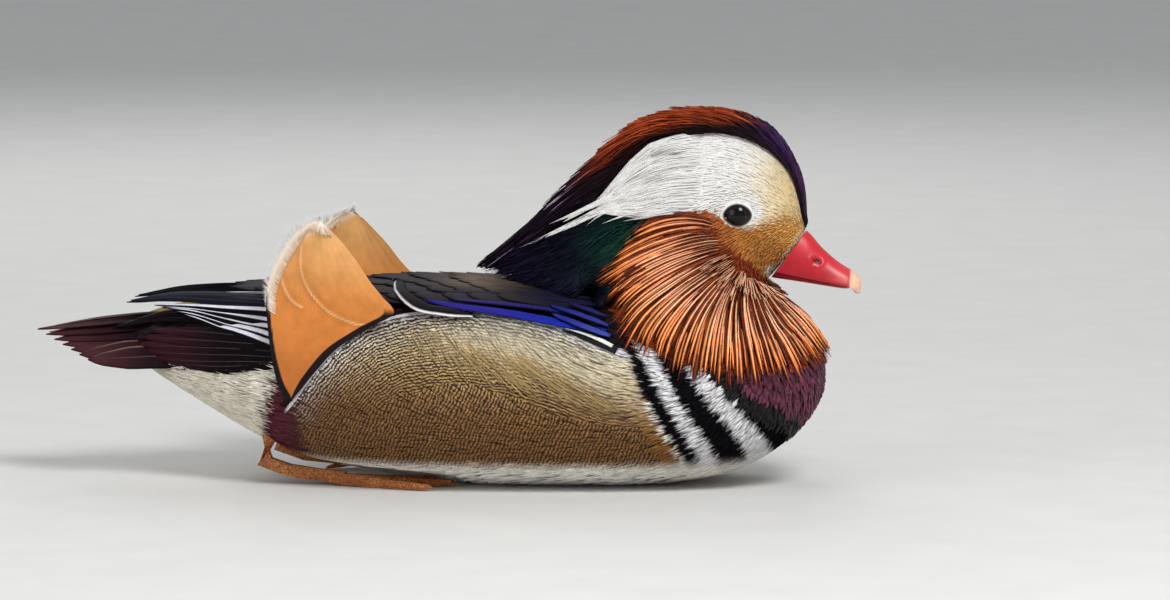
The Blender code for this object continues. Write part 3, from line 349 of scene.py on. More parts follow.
# The lie of the feathers in the side view: place, and direction in degrees from the bill, upwards
LIE = (
    (800, 215, 118), (790, 190, 118), (780, 160, 128), (755, 140, 150), (720, 135, 170),
    (680, 145, 184), (640, 165, 202), (610, 195, 212), (690, 180, 184), (735, 180, 168),
    (765, 200, 140), (775, 225, 160), (705, 205, 186), (660, 205, 198), (640, 215, 204),
    (790, 235, 190), (765, 245, 205), (740, 235, 205), (715, 230, 212), (745, 262, 238),
    (690, 225, 210), (772, 268, 225), (765, 285, 268), (700, 260, 235), (660, 250, 228),
    (640, 300, 240), (700, 320, 262), (760, 320, 282), (790, 320, 298), (620, 240, 215),
    (600, 270, 215), (815, 355, 285), (805, 385, 262), (775, 400, 245), (745, 410, 225),
    (740, 440, 205), (780, 430, 220), (700, 400, 205), (660, 390, 190), (640, 370, 170),
    (680, 440, 192), (625, 355, 160), (620, 415, 176), (600, 380, 158), (570, 350, 138),
    (530, 330, 120), (470, 318, 106), (500, 350, 122), (560, 400, 156), (520, 385, 140),
    (430, 330, 112), (460, 370, 128), (400, 325, 118), (360, 345, 128), (400, 365, 132),
    (325, 375, 138), (305, 395, 158), (350, 400, 160), (430, 410, 160), (500, 420, 165),
    (560, 430, 172), (640, 430, 182), (420, 440, 180), (520, 470, 182), (620, 470, 184),
    (300, 425, 178), (265, 395, 184), (262, 372, 168), (235, 385, 170), (200, 380, 178),
    (170, 375, 178), (150, 365, 178), (130, 350, 178), (200, 400, 180), (250, 340, 180),
    (200, 330, 180), (300, 320, 178), (400, 300, 178), (500, 290, 180), (560, 285, 190),
)
LIE_REACH = 26.0


def lie_of(points):
    """Directions in space along the lie, before they are laid on the surface."""
    uv = side_view(points)
    table = np.array(LIE, float)
    far = ((uv[..., None, :] - table[:, :2]) ** 2).sum(-1)
    weight = np.exp(-far / (2 * LIE_REACH**2)) + 1e-3 / (1 + far)
    angle = np.radians(table[:, 2])
    du, dv = (weight * np.cos(angle)).sum(-1), (weight * np.sin(angle)).sum(-1)
    flat = du[..., None] * RIGHT + dv[..., None] * UP
    flat[..., 1] = 0
    return unit(flat)


# Markings: outlines in the side view
BROW_TOP = ((803, 228), (799, 210), (797, 192), (790, 174), (771, 153), (745, 139), (718, 133),
            (692, 134), (669, 138), (649, 145), (628, 163), (612, 182), (597, 199), (574, 213),
            (548, 230), (525, 244))
BROW_LOW = ((525, 246), (548, 236), (574, 221), (597, 213), (612, 216), (640, 219), (672, 213),
            (705, 212), (722, 219), (735, 227), (750, 228), (765, 222), (785, 216), (803, 222))
FACE = BROW_TOP + ((525, 246), (548, 236), (574, 221), (597, 213), (612, 216), (640, 219),
                   (672, 213), (690, 222), (712, 240), (735, 256), (752, 268), (762, 278),
                   (768, 279), (778, 270), (790, 250), (806, 230))
RUFF_BASE = ((640, 219), (672, 213), (690, 222), (712, 240), (735, 256), (752, 268), (762, 278),
             (778, 276), (800, 310), (832, 345), (815, 365), (770, 375), (720, 372), (670, 360),
             (625, 335), (600, 290), (612, 250))
FLANK_TOP = ((293, 402), (303, 388), (318, 368), (340, 345), (367, 326), (398, 315), (432, 310),
             (470, 309), (500, 312), (530, 318), (556, 325), (575, 331), (597, 340), (625, 350))
FLANK = FLANK_TOP + ((631, 366), (640, 394), (652, 420), (676, 455), (690, 520), (300, 520),
                     (292, 440))
BARS = (
    (((625, 345), (634, 366), (644, 394), (656, 420), (680, 455), (700, 500)), BLACK),
    (((633, 345), (647, 370), (660, 396), (675, 422), (695, 455), (715, 500)), BAR_WHITE),
    (((650, 345), (663, 372), (676, 397), (691, 422), (712, 452), (730, 500)), BLACK),
    (((671, 345), (685, 372), (703, 398), (722, 420), (742, 448), (760, 500)), BAR_WHITE),
    (((688, 345), (702, 370), (721, 393), (744, 417), (765, 440), (790, 500)), BLACK),
    (((712, 345), (724, 374), (742, 392), (768, 408), (800, 424), (840, 470)), MAROON),
)
GOLD_LINE = ((280, 436), (340, 420), (400, 398), (440, 386), (480, 384), (520, 398), (566, 416),
             (613, 424), (660, 428))
UNDERTAIL_PATCH = ((120, 352), (140, 361), (180, 368), (215, 371), (240, 373), (256, 368),
                   (270, 362), (290, 362), (284, 380), (272, 400), (268, 424), (262, 470),
                   (120, 470))
MAROON_PATCH = ((288, 352), (306, 360), (300, 400), (310, 470), (262, 470), (266, 424), (270, 400),
                (278, 378))
BELLY_LOW, BELLY_HIGH = 0.0090, 0.0150


def bar_side(line, uv):
    """How far to the front of a slanting line places lie, positive in front."""
    line = np.asarray(line, float)
    return uv[..., 0] - np.interp(uv[..., 1], line[:, 1], line[:, 0])


def face_paint(uv, noise):
    """The white brow, the creamy lores and the tan cheek."""
    u, v = uv[..., 0], uv[..., 1]
    colour = blend(WHITE, CREAM, step(728, 790, u) * step(120, 185, v))
    low = np.array(BROW_LOW[5:])
    edge = np.interp(u, low[:, 0], low[:, 1])
    soft = np.interp(u, (640, 735, 760, 790), (3, 4, 17, 26))
    below = step(0, 1, (v + noise * 2 - edge + soft * 0.5) / soft)
    cheek = blend(RUST, TAN, step(690, 750, u))
    cheek = blend(cheek, OCHRE, step(745, 790, u) * (1 - step(232, 262, v)) * 0.9)
    colour = blend(colour, cheek, below)
    ring = np.linalg.norm((uv - (739, 211)) / (19, 15), axis=-1)
    colour = blend(colour, WHITE, 1 - step(0.95, 1.25, ring))
    chin = np.linalg.norm((uv - (771, 273)) / (9, 8), axis=-1)
    colour = blend(colour, (228, 214, 190), 1 - step(0.6, 1.1, chin))
    lores = distance(((806, 226), (792, 246), (778, 268)), uv)
    return blend(colour, CREAM, (1 - step(1.5, 6, lores)) * 0.7)


def body_paint(points, noise):
    """The colour of the coat at points, by where they lie on the bird."""
    uv = side_view(points)
    u, v = uv[..., 0], uv[..., 1]
    z = points[..., 2]
    colour = np.broadcast_to(linear(RUMP), points.shape).copy()
    belly = inside(((300, 400), (700, 400), (900, 400), (900, 700), (200, 700), (200, 420)), uv)
    colour[belly] = linear(BELLY)
    flank = inside(FLANK, uv)
    colour[flank] = flank_paint(uv[flank])
    front = (v > 285) & (bar_side(BARS[0][0], uv + noise[..., None] * (1.2, 0)) > 0)
    for line, bar in BARS:
        past = front & (bar_side(line, uv + noise[..., None] * (1.6, 0)) > 0)
        colour[past] = linear(bar)
    white_tail = inside(UNDERTAIL_PATCH, uv + noise[..., None] * (0, 2.5))
    colour[white_tail] = linear(UNDERTAIL)
    colour[inside(MAROON_PATCH, uv + noise[..., None] * (2, 1))] = linear(RUMP_MAROON)
    low = 1 - step(BELLY_LOW, BELLY_HIGH, z)
    return blend(colour, BELLY, low * (u > 240))


def flank_paint(uv):
    """The buff flank: pale at the top and front, darker and browner towards the water."""
    u, v = uv[..., 0], uv[..., 1]
    depth = distance(FLANK_TOP, uv)
    colour = blend(BUFF_TOP, BUFF, step(14, 78, depth + 0.14 * (480 - u)))
    low = step(355, 425, v - 0.10 * (u - 480))
    rear = 1 - step(310, 400, u)
    colour = blend(colour, BUFF_DEEP, np.maximum(low, rear * 0.7 * step(10, 36, depth)))
    return blend(BAR_WHITE, colour, step(3, 12, depth) * 0.8 + 0.2 * step(12, 34, depth))


def head_paint(points, noise):
    uv = side_view(points)
    colour = np.broadcast_to(linear(NAPE_GREEN), points.shape).copy()
    ruff = inside(RUFF_BASE, uv)
    colour[ruff] = linear(HACKLE_DEEP)
    crown = uv[..., 1] < down_at(BROW_TOP[::-1], uv[..., 0])
    colour[crown & (uv[..., 0] > 590)] = linear(CREST_DARK)
    face = inside(FACE, uv)
    colour[face] = face_paint(uv[face], noise[face])
    return colour


def skin_paint(points, noise):
    """The markings that the skin and the coat share."""
    head = np.hypot(points[..., 0] - PIVOT_X, points[..., 2] - PIVOT_Z)
    turn = np.degrees(np.arctan2(points[..., 2] - PIVOT_Z, points[..., 0] - PIVOT_X)) % 360
    uv = side_view(points)
    on_head = (turn < 190) & (head < 0.096) & (uv[..., 1] < 300) & (uv[..., 0] > 560)
    on_head |= inside(RUFF_BASE, uv)
    return np.where(on_head[..., None], head_paint(points, noise), body_paint(points, noise))


def flank_bars(uv, lower):
    """Phase and strength of the fine dark bars, on the upper lobe or the lower one."""
    depth = distance(FLANK_TOP, uv)
    upper_phase = depth / np.interp(depth, (0, 16, 40), (3.7, 3.4, 3.1))
    lower_phase = (0.90 * uv[..., 0] + 0.42 * uv[..., 1]) / 3.5
    phase = np.where(lower, lower_phase, upper_phase)
    top = 1 - 0.5 * step(12, 26, depth) * step(400, 480, uv[..., 0]) * (1 - step(30, 60, depth))
    top *= 1 - 0.25 * step(560, 610, uv[..., 0])
    top *= 1 - 0.3 * step(420, 520, uv[..., 0]) * (1 - step(36, 76, depth))
    strength = np.where(lower, 0.95, top)
    inside_flank = inside(FLANK, uv) & (depth > 2.0)
    return phase, strength * inside_flank


# Building meshes

WORD = {-1: "right", 1: "left"}
FLOOR_GAP = 0.0004
BLADE = ((-1.0, -0.4), (0.0, 0.6), (1.0, -0.4))
VANE = ((-1.0, -0.45), (-0.5, 0.3), (0.0, 0.55), (0.5, 0.3), (1.0, -0.45))
BROAD = ((-1.0, -0.5), (-0.8, -0.1), (-0.5, 0.3), (-0.2, 0.45), (0.0, 0.55), (0.2, 0.45),
         (0.5, 0.3), (0.8, -0.1), (1.0, -0.5))


def set_values(mesh, values):
    """Gives each point of a mesh its named numbers and colours."""
    for key, value in values.items():
        value = np.asarray(value, np.float32)
        if value.ndim == 2:
            value = np.concatenate([value, np.ones((len(value), 1), np.float32)], 1)
            layer = mesh.attributes.new(key, "FLOAT_COLOR", "POINT")
            layer.data.foreach_set("color", value.ravel())
        else:
            layer = mesh.attributes.new(key, "FLOAT", "POINT")
            layer.data.foreach_set("value", value)


def bake_map(obj, uv):
    """The UV map for baking, from one place per point."""
    layer = obj.data.uv_layers.new(name="OFBake")
    corner = np.zeros(len(obj.data.loops), np.int32)
    obj.data.loops.foreach_get("vertex_index", corner)
    layer.data.foreach_set("uv", uv[corner].astype(np.float32).ravel())


def mesh_object(name, points, faces, mat, values=None):
    """A mesh from points and faces of any size, turned outwards, with per-point attributes."""
    mesh = bpy.data.meshes.new(name)
    counts = np.concatenate([np.full(len(f), f.shape[1]) for f in faces])
    corners = np.concatenate([f.ravel() for f in faces])
    volume = 0.0
    for f in faces:
        p = points[f]
        for k in range(1, f.shape[1] - 1):
            volume += np.einsum("ij,ij->", p[:, 0], np.cross(p[:, k], p[:, k + 1]))
    if volume < 0:
        corners = np.concatenate([f[:, ::-1].ravel() for f in faces])
    mesh.vertices.add(len(points))
    mesh.vertices.foreach_set("co", points.astype(np.float32).ravel())
    mesh.loops.add(len(corners))
    mesh.loops.foreach_set("vertex_index", corners.astype(np.int32))
    mesh.polygons.add(len(counts))
    mesh.polygons.foreach_set("loop_start", (np.cumsum(counts) - counts).astype(np.int32))
    mesh.update(calc_edges=True)
    set_values(mesh, values or {})
    mesh.shade_smooth()
    mesh.materials.append(mat)
    obj = bpy.data.objects.new(name, mesh)
    bpy.context.scene.collection.objects.link(obj)
    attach(obj, "root")
    return obj


def root_patches(roots):
    """Where each root lies on the unwrap of the skin."""
    out = np.zeros((len(roots), 2))
    for k, root in enumerate(roots):
        spot, _, face, _ = SKIN_TREE.find_nearest(Vector(root))
        corners = SKIN_POINTS[SKIN_FACES[face]]
        near = 1 / (np.linalg.norm(corners - np.array(spot), axis=1) + 1e-6)
        out[k] = (SKIN_UV[face] * near[:, None]).sum(0) / near.sum()
    return out


def feathers(name, side, slot, paths, facing, half, thick, tint, made, section=BLADE, **more):
    """Many closed tapered feathers as one mesh. paths, facing: (feathers, steps, 3)."""
    paths = np.array(paths, float, order="C")
    n, s = paths.shape[:2]
    along = unit(np.gradient(paths, axis=1))
    across = unit(np.cross(np.broadcast_to(facing, paths.shape), along))
    up = np.cross(along, across)
    section = np.array(section)
    k = len(section)
    half = np.broadcast_to(half, (n, s))[..., None, None]
    thick = np.broadcast_to(thick, (n, s))[..., None, None]
    points = (
        paths[:, :, None]
        + across[:, :, None] * section[:, 0][:, None] * half
        + up[:, :, None] * section[:, 1][:, None] * thick
    )
    points[..., 2] = np.maximum(points[..., 2], FLOOR_GAP)
    share = np.broadcast_to(np.linspace(0, 1, s)[None, :, None], (n, s, k))
    over = np.broadcast_to(section[:, 0], (n, s, k))
    colours = tint(points, share, over)
    values = {"tint": colours.reshape(-1, 3), "along": share.ravel(), "across": over.ravel()}
    for key, value in more.items():
        value = value(points, share, over) if callable(value) else value
        value = np.asarray(value)
        if value.ndim == 1:
            value = value[:, None, None]
        values[key] = np.broadcast_to(value, (n, s, k)).ravel()
    if side > 0:
        points = points * (1, -1, 1)
    base = (np.arange(n) * s * k)[:, None, None]
    ring = base + (np.arange(s - 1) * k)[None, :, None]
    j, j2 = np.arange(k), (np.arange(k) + 1) % k
    quads = np.stack([ring + j, ring + j2, ring + k + j2, ring + k + j], -1).reshape(-1, 4)
    root_cap = (base[:, 0] + np.arange(k))[:, ::-1]
    tip_cap = base[:, 0] + (s - 1) * k + np.arange(k)
    obj = mesh_object(f"{name}_{WORD[side]}", points.reshape(-1, 3), [quads, root_cap, tip_cap],
                      made.mat, values)
    patch = root_patches(points[:, 0].mean(1))
    local = np.stack([over, 2 * share - 1], -1) * TUFT_PATCH
    bake_map(obj, (patch[:, None, None] + local).reshape(-1, 2))
    return obj


# Materials

FULL_TURN = 6.2832


class Nodes:
    """A node material and short ways to add to it."""

    def __init__(self, name, **sockets):
        self.mat = bpy.data.materials.new(name)
        self.mat.use_nodes = True
        self.tree = self.mat.node_tree
        self.shader = self.tree.nodes["Principled BSDF"]
        for key, value in sockets.items():
            self.shader.inputs[key.replace("_", " ")].default_value = value

    def add(self, kind, inputs=(), **settings):
        node = self.tree.nodes.new(kind)
        for key, value in settings.items():
            setattr(node, key, value)
        for key, value in dict(inputs).items():
            self.join(value, node.inputs[key])
        return node

    def join(self, value, socket):
        if isinstance(value, bpy.types.NodeSocket):
            self.tree.links.new(value, socket)
        else:
            socket.default_value = value

    def attribute(self, name, colour=False):
        node = self.add("ShaderNodeAttribute", attribute_name=name)
        return node.outputs["Color" if colour else "Fac"]

    def maths(self, operation, a, b=0.0, c=0.0):
        node = self.add("ShaderNodeMath", {0: a, 1: b, 2: c}, operation=operation)
        return node.outputs[0]

    def mix(self, factor, a, b, how="MIX"):
        node = self.add("ShaderNodeMix", data_type="RGBA", blend_type=how)
        self.join(factor, node.inputs[0])
        self.join(a, node.inputs[6])
        self.join(b, node.inputs[7])
        return node.outputs[2]

    def noise(self, scale, detail=2.0, rough=0.5, distortion=0.0):
        where = self.add("ShaderNodeTexCoord").outputs["Object"]
        node = self.add("ShaderNodeTexNoise", {
            "Vector": where, "Scale": scale, "Detail": detail, "Roughness": rough,
            "Distortion": distortion})
        return node.outputs["Fac"]

    def ramp(self, value, low, high, a=0.0, b=1.0):
        node = self.add("ShaderNodeMapRange", {
            "Value": value, "From Min": low, "From Max": high, "To Min": a, "To Max": b})
        return node.outputs["Result"]

    def wave(self, phase):
        return self.maths("SINE", self.maths("MULTIPLY", phase, FULL_TURN))

    def scaled(self, colour, value):
        every = self.add("ShaderNodeCombineColor", {"Red": value, "Green": value, "Blue": value})
        return self.mix(1.0, colour, every.outputs[0], "MULTIPLY")

    def bump(self, height, strength, distance):
        node = self.add("ShaderNodeBump", {
            "Height": height, "Strength": strength, "Distance": distance})
        self.join(node.outputs["Normal"], self.shader.inputs["Normal"])


def grey(value):
    return (*linear(value), 1.0)


def coat_material(name, roughness=0.5, specular=0.3, sheen=0.04, barbs=0.0, barb_count=20.0,
                  slant=4.0, spread=0.35, shaft=0.0, shaft_colour=SHAFT):
    """Feathers: the painted colour, varied by noise, with fine barbs and a paler shaft."""
    made = Nodes(name, Roughness=roughness, Specular_IOR_Level=specular, Sheen_Weight=sheen,
                 Sheen_Roughness=0.4)
    tint = made.attribute("tint", True)
    along, across = made.attribute("along"), made.attribute("across")
    broad = made.ramp(made.noise(220.0, 3.0), 0.25, 0.75, 1 - spread, 1 + spread)
    fine = made.ramp(made.noise(1500.0, 2.0), 0.3, 0.7, 1 - spread * 0.6, 1 + spread * 0.6)
    value = made.maths("MULTIPLY", broad, fine)
    height = fine
    away = made.maths("ABSOLUTE", across)
    if barbs:
        place_along = made.maths("MULTIPLY_ADD", along, barb_count, made.maths(
            "MULTIPLY", away, -slant))
        wobble = made.maths("MULTIPLY_ADD", broad, 1.5, place_along)
        wave = made.wave(wobble)
        value = made.maths("MULTIPLY", value, made.ramp(wave, -1, 1, 1 - barbs, 1 + barbs * 0.6))
        height = made.maths("ADD", fine, made.maths("MULTIPLY", wave, 0.5))
    colour = made.scaled(tint, value)
    if shaft:
        line = made.ramp(away, shaft * 0.5, shaft, 1.0, 0.0)
        fade = made.ramp(along, 0.72, 0.95, 1.0, 0.0)
        colour = made.mix(made.maths("MULTIPLY", line, fade), colour, grey(shaft_colour))
    made.join(colour, made.shader.inputs["Base Color"])
    made.bump(height, 0.35, 0.00015)
    return made


def flank_material():
    """Buff feathers with fine wavy dark bars, whose phase and strength each point carries."""
    made = coat_material("flank_feathers", 0.6, 0.2, 0.03, spread=0.16)
    wobble = made.maths("MULTIPLY_ADD", made.noise(240.0, 2.0, 0.55), 2.0, made.attribute("phase"))
    wobble = made.maths("MULTIPLY_ADD", made.noise(900.0, 1.0), 0.45, wobble)
    wave = made.wave(wobble)
    line = made.ramp(wave, -0.35, 0.45)
    dark = made.maths("MULTIPLY", line, made.attribute("bars"))
    old = made.shader.inputs["Base Color"].links[0].from_socket
    made.join(made.mix(dark, old, grey(BAR_DARK)), made.shader.inputs["Base Color"])
    return made


# The skin

def grid_faces(rows, columns, closed=True):
    """Quads between the rows of a grid whose columns close on themselves or not."""
    i = np.arange(rows - 1)[:, None] * columns
    j = np.arange(columns if closed else columns - 1)[None, :]
    j2 = (j + 1) % columns
    return np.stack([i + j, i + j2, i + columns + j2, i + columns + j], -1).reshape(-1, 4)


def capped(rings):
    """Points and faces of a closed loft through rings."""
    rows, columns = rings.shape[:2]
    points = rings.reshape(-1, 3)
    ends = [np.arange(columns)[None, ::-1], (rows - 1) * columns + np.arange(columns)[None]]
    return points, [grid_faces(rows, columns)] + ends


def skin_rings():
    front, rear = TORSO[0][0] - 0.0006, TORSO[-1][0] + 0.0006
    turns = np.linspace(torso_turn(front), torso_turn(rear), 90)
    x = (TORSO[0][0] + TORSO[-1][0]) / 2 + (TORSO[0][0] - TORSO[-1][0]) / 2 * np.cos(turns)
    phi = 2 * np.pi * np.arange(64) / 64
    body = torso_skin(x[:, None], phi[None])
    head = neck_skin(np.linspace(72, 215, 60)[:, None], phi[None])
    point, normal = bill_plane()
    past = np.maximum((head - point) @ normal, 0)
    head = head - past[..., None] * normal
    return body, head


def build_skin():
    """Torso, neck and head as one closed surface, sunk by the depth of the coat."""
    shells = []
    for rings in skin_rings():
        points, faces = capped(rings)
        shells.append(mesh_object("shell", points, faces, SKIN_MATERIAL))
    both = bmesh.new()
    for shell in shells:
        both.from_mesh(shell.data)
        bpy.data.objects.remove(shell)
    mesh = bpy.data.meshes.new("skin")
    both.to_mesh(mesh)
    both.free()
    obj = bpy.data.objects.new("skin", mesh)
    bpy.context.scene.collection.objects.link(obj)
    remesh = obj.modifiers.new("remesh", "REMESH")
    remesh.mode, remesh.voxel_size = "VOXEL", VOXEL
    relax = obj.modifiers.new("relax", "SMOOTH")
    relax.factor, relax.iterations = 0.5, 8
    bpy.context.view_layer.update()
    made = bpy.data.meshes.new_from_object(obj.evaluated_get(bpy.context.evaluated_depsgraph_get()))
    obj.modifiers.clear()
    obj.data = made
    made.name = "skin"
    points = read_points(made)
    normals = np.zeros(len(points) * 3, np.float32)
    made.vertices.foreach_get("normal", normals)
    head = np.hypot(points[:, 0] - PIVOT_X, points[:, 2] - PIVOT_Z) < 0.095
    head &= points[:, 2] > 0.078
    depth = np.where(head, SKIN_DEPTH_HEAD, SKIN_DEPTH_BODY)[:, None]
    points = points - normals.reshape(-1, 3) * depth
    for side in (-1, 1):
        middle = np.array(FOOT_WELL_AT) * (1, side, 1)
        near = (points - middle) / FOOT_WELL_REACH
        flat = (near[:, :2] ** 2).sum(1)
        roof = middle[2] + FOOT_WELL_REACH[2] * np.sqrt(np.maximum(1 - flat, 0))
        points[:, 2] = np.where(flat < 1, np.maximum(points[:, 2], roof), points[:, 2])
    made.vertices.foreach_set("co", points.astype(np.float32).ravel())
    made.update()
    return obj


def read_points(mesh):
    points = np.zeros(len(mesh.vertices) * 3, np.float32)
    mesh.vertices.foreach_get("co", points)
    return points.reshape(-1, 3).astype(float)


def tree_of(obj):
    return BVHTree.FromPolygons(
        [v.co for v in obj.data.vertices], [tuple(p.vertices) for p in obj.data.polygons])


def unwrap(obj):
    """Unwraps the skin and returns its corners' places, face by face as quads."""
    bpy.context.view_layer.objects.active = obj
    obj.select_set(True)
    bpy.ops.object.mode_set(mode="EDIT")
    bpy.ops.mesh.select_all(action="SELECT")
    bpy.ops.uv.smart_project(angle_limit=math.radians(66), island_margin=0.004)
    bpy.ops.object.mode_set(mode="OBJECT")
    layer = obj.data.uv_layers.active
    layer.name = "OFBake"
    uv = np.zeros(len(obj.data.loops) * 2, np.float32)
    layer.data.foreach_get("uv", uv)
    uv = uv.reshape(-1, 2)
    faces, places = [], []
    for face in obj.data.polygons:
        ids = list(face.vertices)[:4]
        loops = list(face.loop_indices)[:4]
        faces.append(ids + ids[-1:] * (4 - len(ids)))
        places.append(uv[loops + loops[-1:] * (4 - len(loops))])
    return np.array(faces), np.array(places)


def paint_skin(obj):
    points = read_points(obj.data)
    colours = skin_paint(points, np.zeros(len(points)))
    uv = side_view(points)
    lower = uv[:, 1] > down_at(GOLD_LINE, uv[:, 0])
    phase, bars = flank_bars(uv, lower)
    low = 1 - step(BELLY_LOW, BELLY_HIGH, points[:, 2])
    # Painted shade: the skin under the coat is painted a fifth darker than the feathers over it.
    set_values(obj.data, {"phase": phase, "bars": bars * (1 - low), "along": 0 * phase + 0.5,
                          "across": 0 * phase + 0.7, "tint": colours * 0.8})
    obj.data.shade_smooth()


def scatter(rng, spacing, where):
    """Evenly spread places on the right half of the skin, where a test of them holds."""
    a, b, c = (SKIN_POINTS[SKIN_FACES[:, k]] for k in (0, 1, 2))
    middle = (a + c) / 2
    size = np.linalg.norm(np.cross(b - a, c - a), axis=1)
    size = size * (middle[:, 1] < 0.0012)
    wanted = where(middle, side_view(middle))
    size = size * wanted
    total = int(size.sum() / spacing**2 * 7) + 1
    picked = rng.choice(len(size), total, p=size / size.sum())
    d = SKIN_POINTS[SKIN_FACES[picked, 3]]
    u, v = rng.uniform(0, 1, (2, total, 1))
    points = (1 - v) * ((1 - u) * a[picked] + u * b[picked]) + v * ((1 - u) * d + u * c[picked])
    points = points[where(points, side_view(points)) & (points[:, 1] < 0.0006)]
    for shift in (0.0, 0.5):
        cell = np.floor(points / spacing + shift).astype(np.int64)
        _, first = np.unique(cell @ [73856093, 19349663, 83492791], return_index=True)
        points = points[np.sort(first)]
    return points


def nearest(points, tree=None):
    """The nearest places on a surface and its normals there."""
    flat = points.reshape(-1, 3)
    spots, normals = np.zeros_like(flat), np.zeros_like(flat)
    find = (tree or SKIN_TREE).find_nearest
    for k, point in enumerate(flat):
        spot, normal, _, _ = find(Vector(point))
        spots[k], normals[k] = spot, normal
    return spots.reshape(points.shape), normals.reshape(points.shape)


def lay(roots, length, heights, rng, stray=0.12, turn=None):
    """Paths that run over the skin along the lie of the feathers, at the heights given."""
    steps = heights.shape[-1]
    length = np.broadcast_to(length, len(roots))
    angle = rng.normal(0, stray, len(roots))
    spot, normal = nearest(roots)
    paths, facing = [], []
    for k in range(steps):
        paths.append(spot + normal * heights[..., k][..., None])
        facing.append(normal)
        way = lie_of(spot) if turn is None else turn(spot)
        way = unit(way - normal * (way * normal).sum(-1, keepdims=True))
        side = np.cross(normal, way)
        way = way * np.cos(angle)[:, None] + side * np.sin(angle)[:, None]
        spot, normal = nearest(spot + way * (length / (steps - 1))[:, None])
    return np.stack(paths, 1), np.stack(facing, 1)


def above(paths, tree, least):
    """Paths kept at least this high over a closed surface, with its normals."""
    spots, normals = nearest(paths, tree)
    high = ((paths - spots) * normals).sum(-1)
    least = np.broadcast_to(least, high.shape)
    return np.where((high < least)[..., None], spots + normals * least[..., None], paths), normals


# The coat

def tint_by(paint, rng, n, vary=0.12, edge=0.0, mottle=2.0, local=False, root_shade=0.62):
    """Colours each feather by where its outer half lies, or each point of it by its own place, with
    painted shade that darkens each feather towards its root.
    """
    own = np.clip(1 + rng.normal(0, vary, n), 0.6, 1.5)
    noise = rng.normal(0, mottle, n) * 0.5

    def colours(points, share, over):
        s = points.shape[1]
        if local:
            base = paint(points, np.broadcast_to(noise[:, None, None], points.shape[:-1]))
        else:
            base = paint(points[:, s // 2:].mean((1, 2)), noise)[:, None, None]
        base = np.broadcast_to(base * own[:, None, None, None], points.shape).copy()
        # Painted shade: each feather is darker towards its root, where the feathers over it cover
        # it.
        shade = root_shade + (1 - root_shade) * step(0, 0.5, share)
        shade = shade * (1 + edge * np.abs(over) * step(0.5, 1, share))
        return base * shade[..., None]

    return colours


def profile(shares, values, steps):
    return np.interp(np.linspace(0, 1, steps), shares, values)


def coat(name, side, mat, spacing, where, length, half, tip_height, steps=4, thick=0.00022,
         section=BLADE, vary=0.12, stray=0.12, paint=None, edge=0.15, blunt=0.25, slot="flank",
         mottle=2.0, local=False, root_shade=0.62, **more):
    """One region of small feathers over the skin."""
    rng = draws(side, sum(map(ord, name)))
    roots = scatter(rng, spacing, where)
    n = len(roots)
    scale = rng.uniform(0.85, 1.15, n)
    reach = (length(side_view(roots)) if callable(length) else length) * scale
    rise = profile([0, 0.25, 1], [-0.0004, 0.0003, tip_height], steps)
    heights = rise[None] * rng.uniform(0.8, 1.2, (n, 1))
    paths, facing = lay(roots, reach, heights, rng, stray)
    width = half * profile([0, 0.3, 0.6, 0.85, 1], [0.5, 0.9, 1, 0.5 + blunt, 0.06 + blunt], steps)
    width = width[None] * (scale * rng.uniform(0.85, 1.15, n))[:, None]
    colours = tint_by(paint or skin_paint, rng, n, vary, edge, mottle, local, root_shade)
    feathers(name, side, slot, paths, facing, width, thick, colours, mat, section,
             **{key: value(roots, paths, rng) for key, value in more.items()})


FACE_RADIUS, FACE_LOWEST = 0.0935, 0.0795


def outside_face(points):
    head = np.hypot(points[:, 0] - PIVOT_X, points[:, 2] - PIVOT_Z)
    return ~((head < FACE_RADIUS) & (points[:, 2] > FACE_LOWEST))


def in_well(points):
    near = (points - np.array(FOOT_WELL_AT) * (1, -1, 1)) / FOOT_WELL_REACH
    return (near[:, :2] ** 2).sum(1) < 1.1


def flank_region(points, uv):
    return inside(FLANK, uv) & (points[:, 2] > BELLY_LOW) & outside_face(points)


def flank_coat(side):
    """The buff flank, in narrow feathers whose fine bars run on from one to the next."""
    def lower(roots, paths, rng):
        tips = side_view(paths[:, -2])
        return tips[:, 1] > down_at(GOLD_LINE, tips[:, 0])

    def phase(roots, paths, rng):
        low, jitter = lower(roots, paths, rng), rng.normal(0, 0.05, len(roots))
        return lambda points, share, over: flank_bars(
            side_view(points), low[:, None, None])[0] + jitter[:, None, None]

    def bars(roots, paths, rng):
        low = lower(roots, paths, rng)
        return lambda points, share, over: flank_bars(side_view(points), low[:, None, None])[1] * (
            step(BELLY_LOW, BELLY_HIGH, points[..., 2]))

    coat("flank_coat", side, FLANK_MATERIAL, 0.00140, flank_region, 0.0105, 0.0008, 0.0010,
         phase=phase, bars=bars, stray=0.08, vary=0.05, edge=0.05, thick=0.00014, mottle=3,
         local=True)


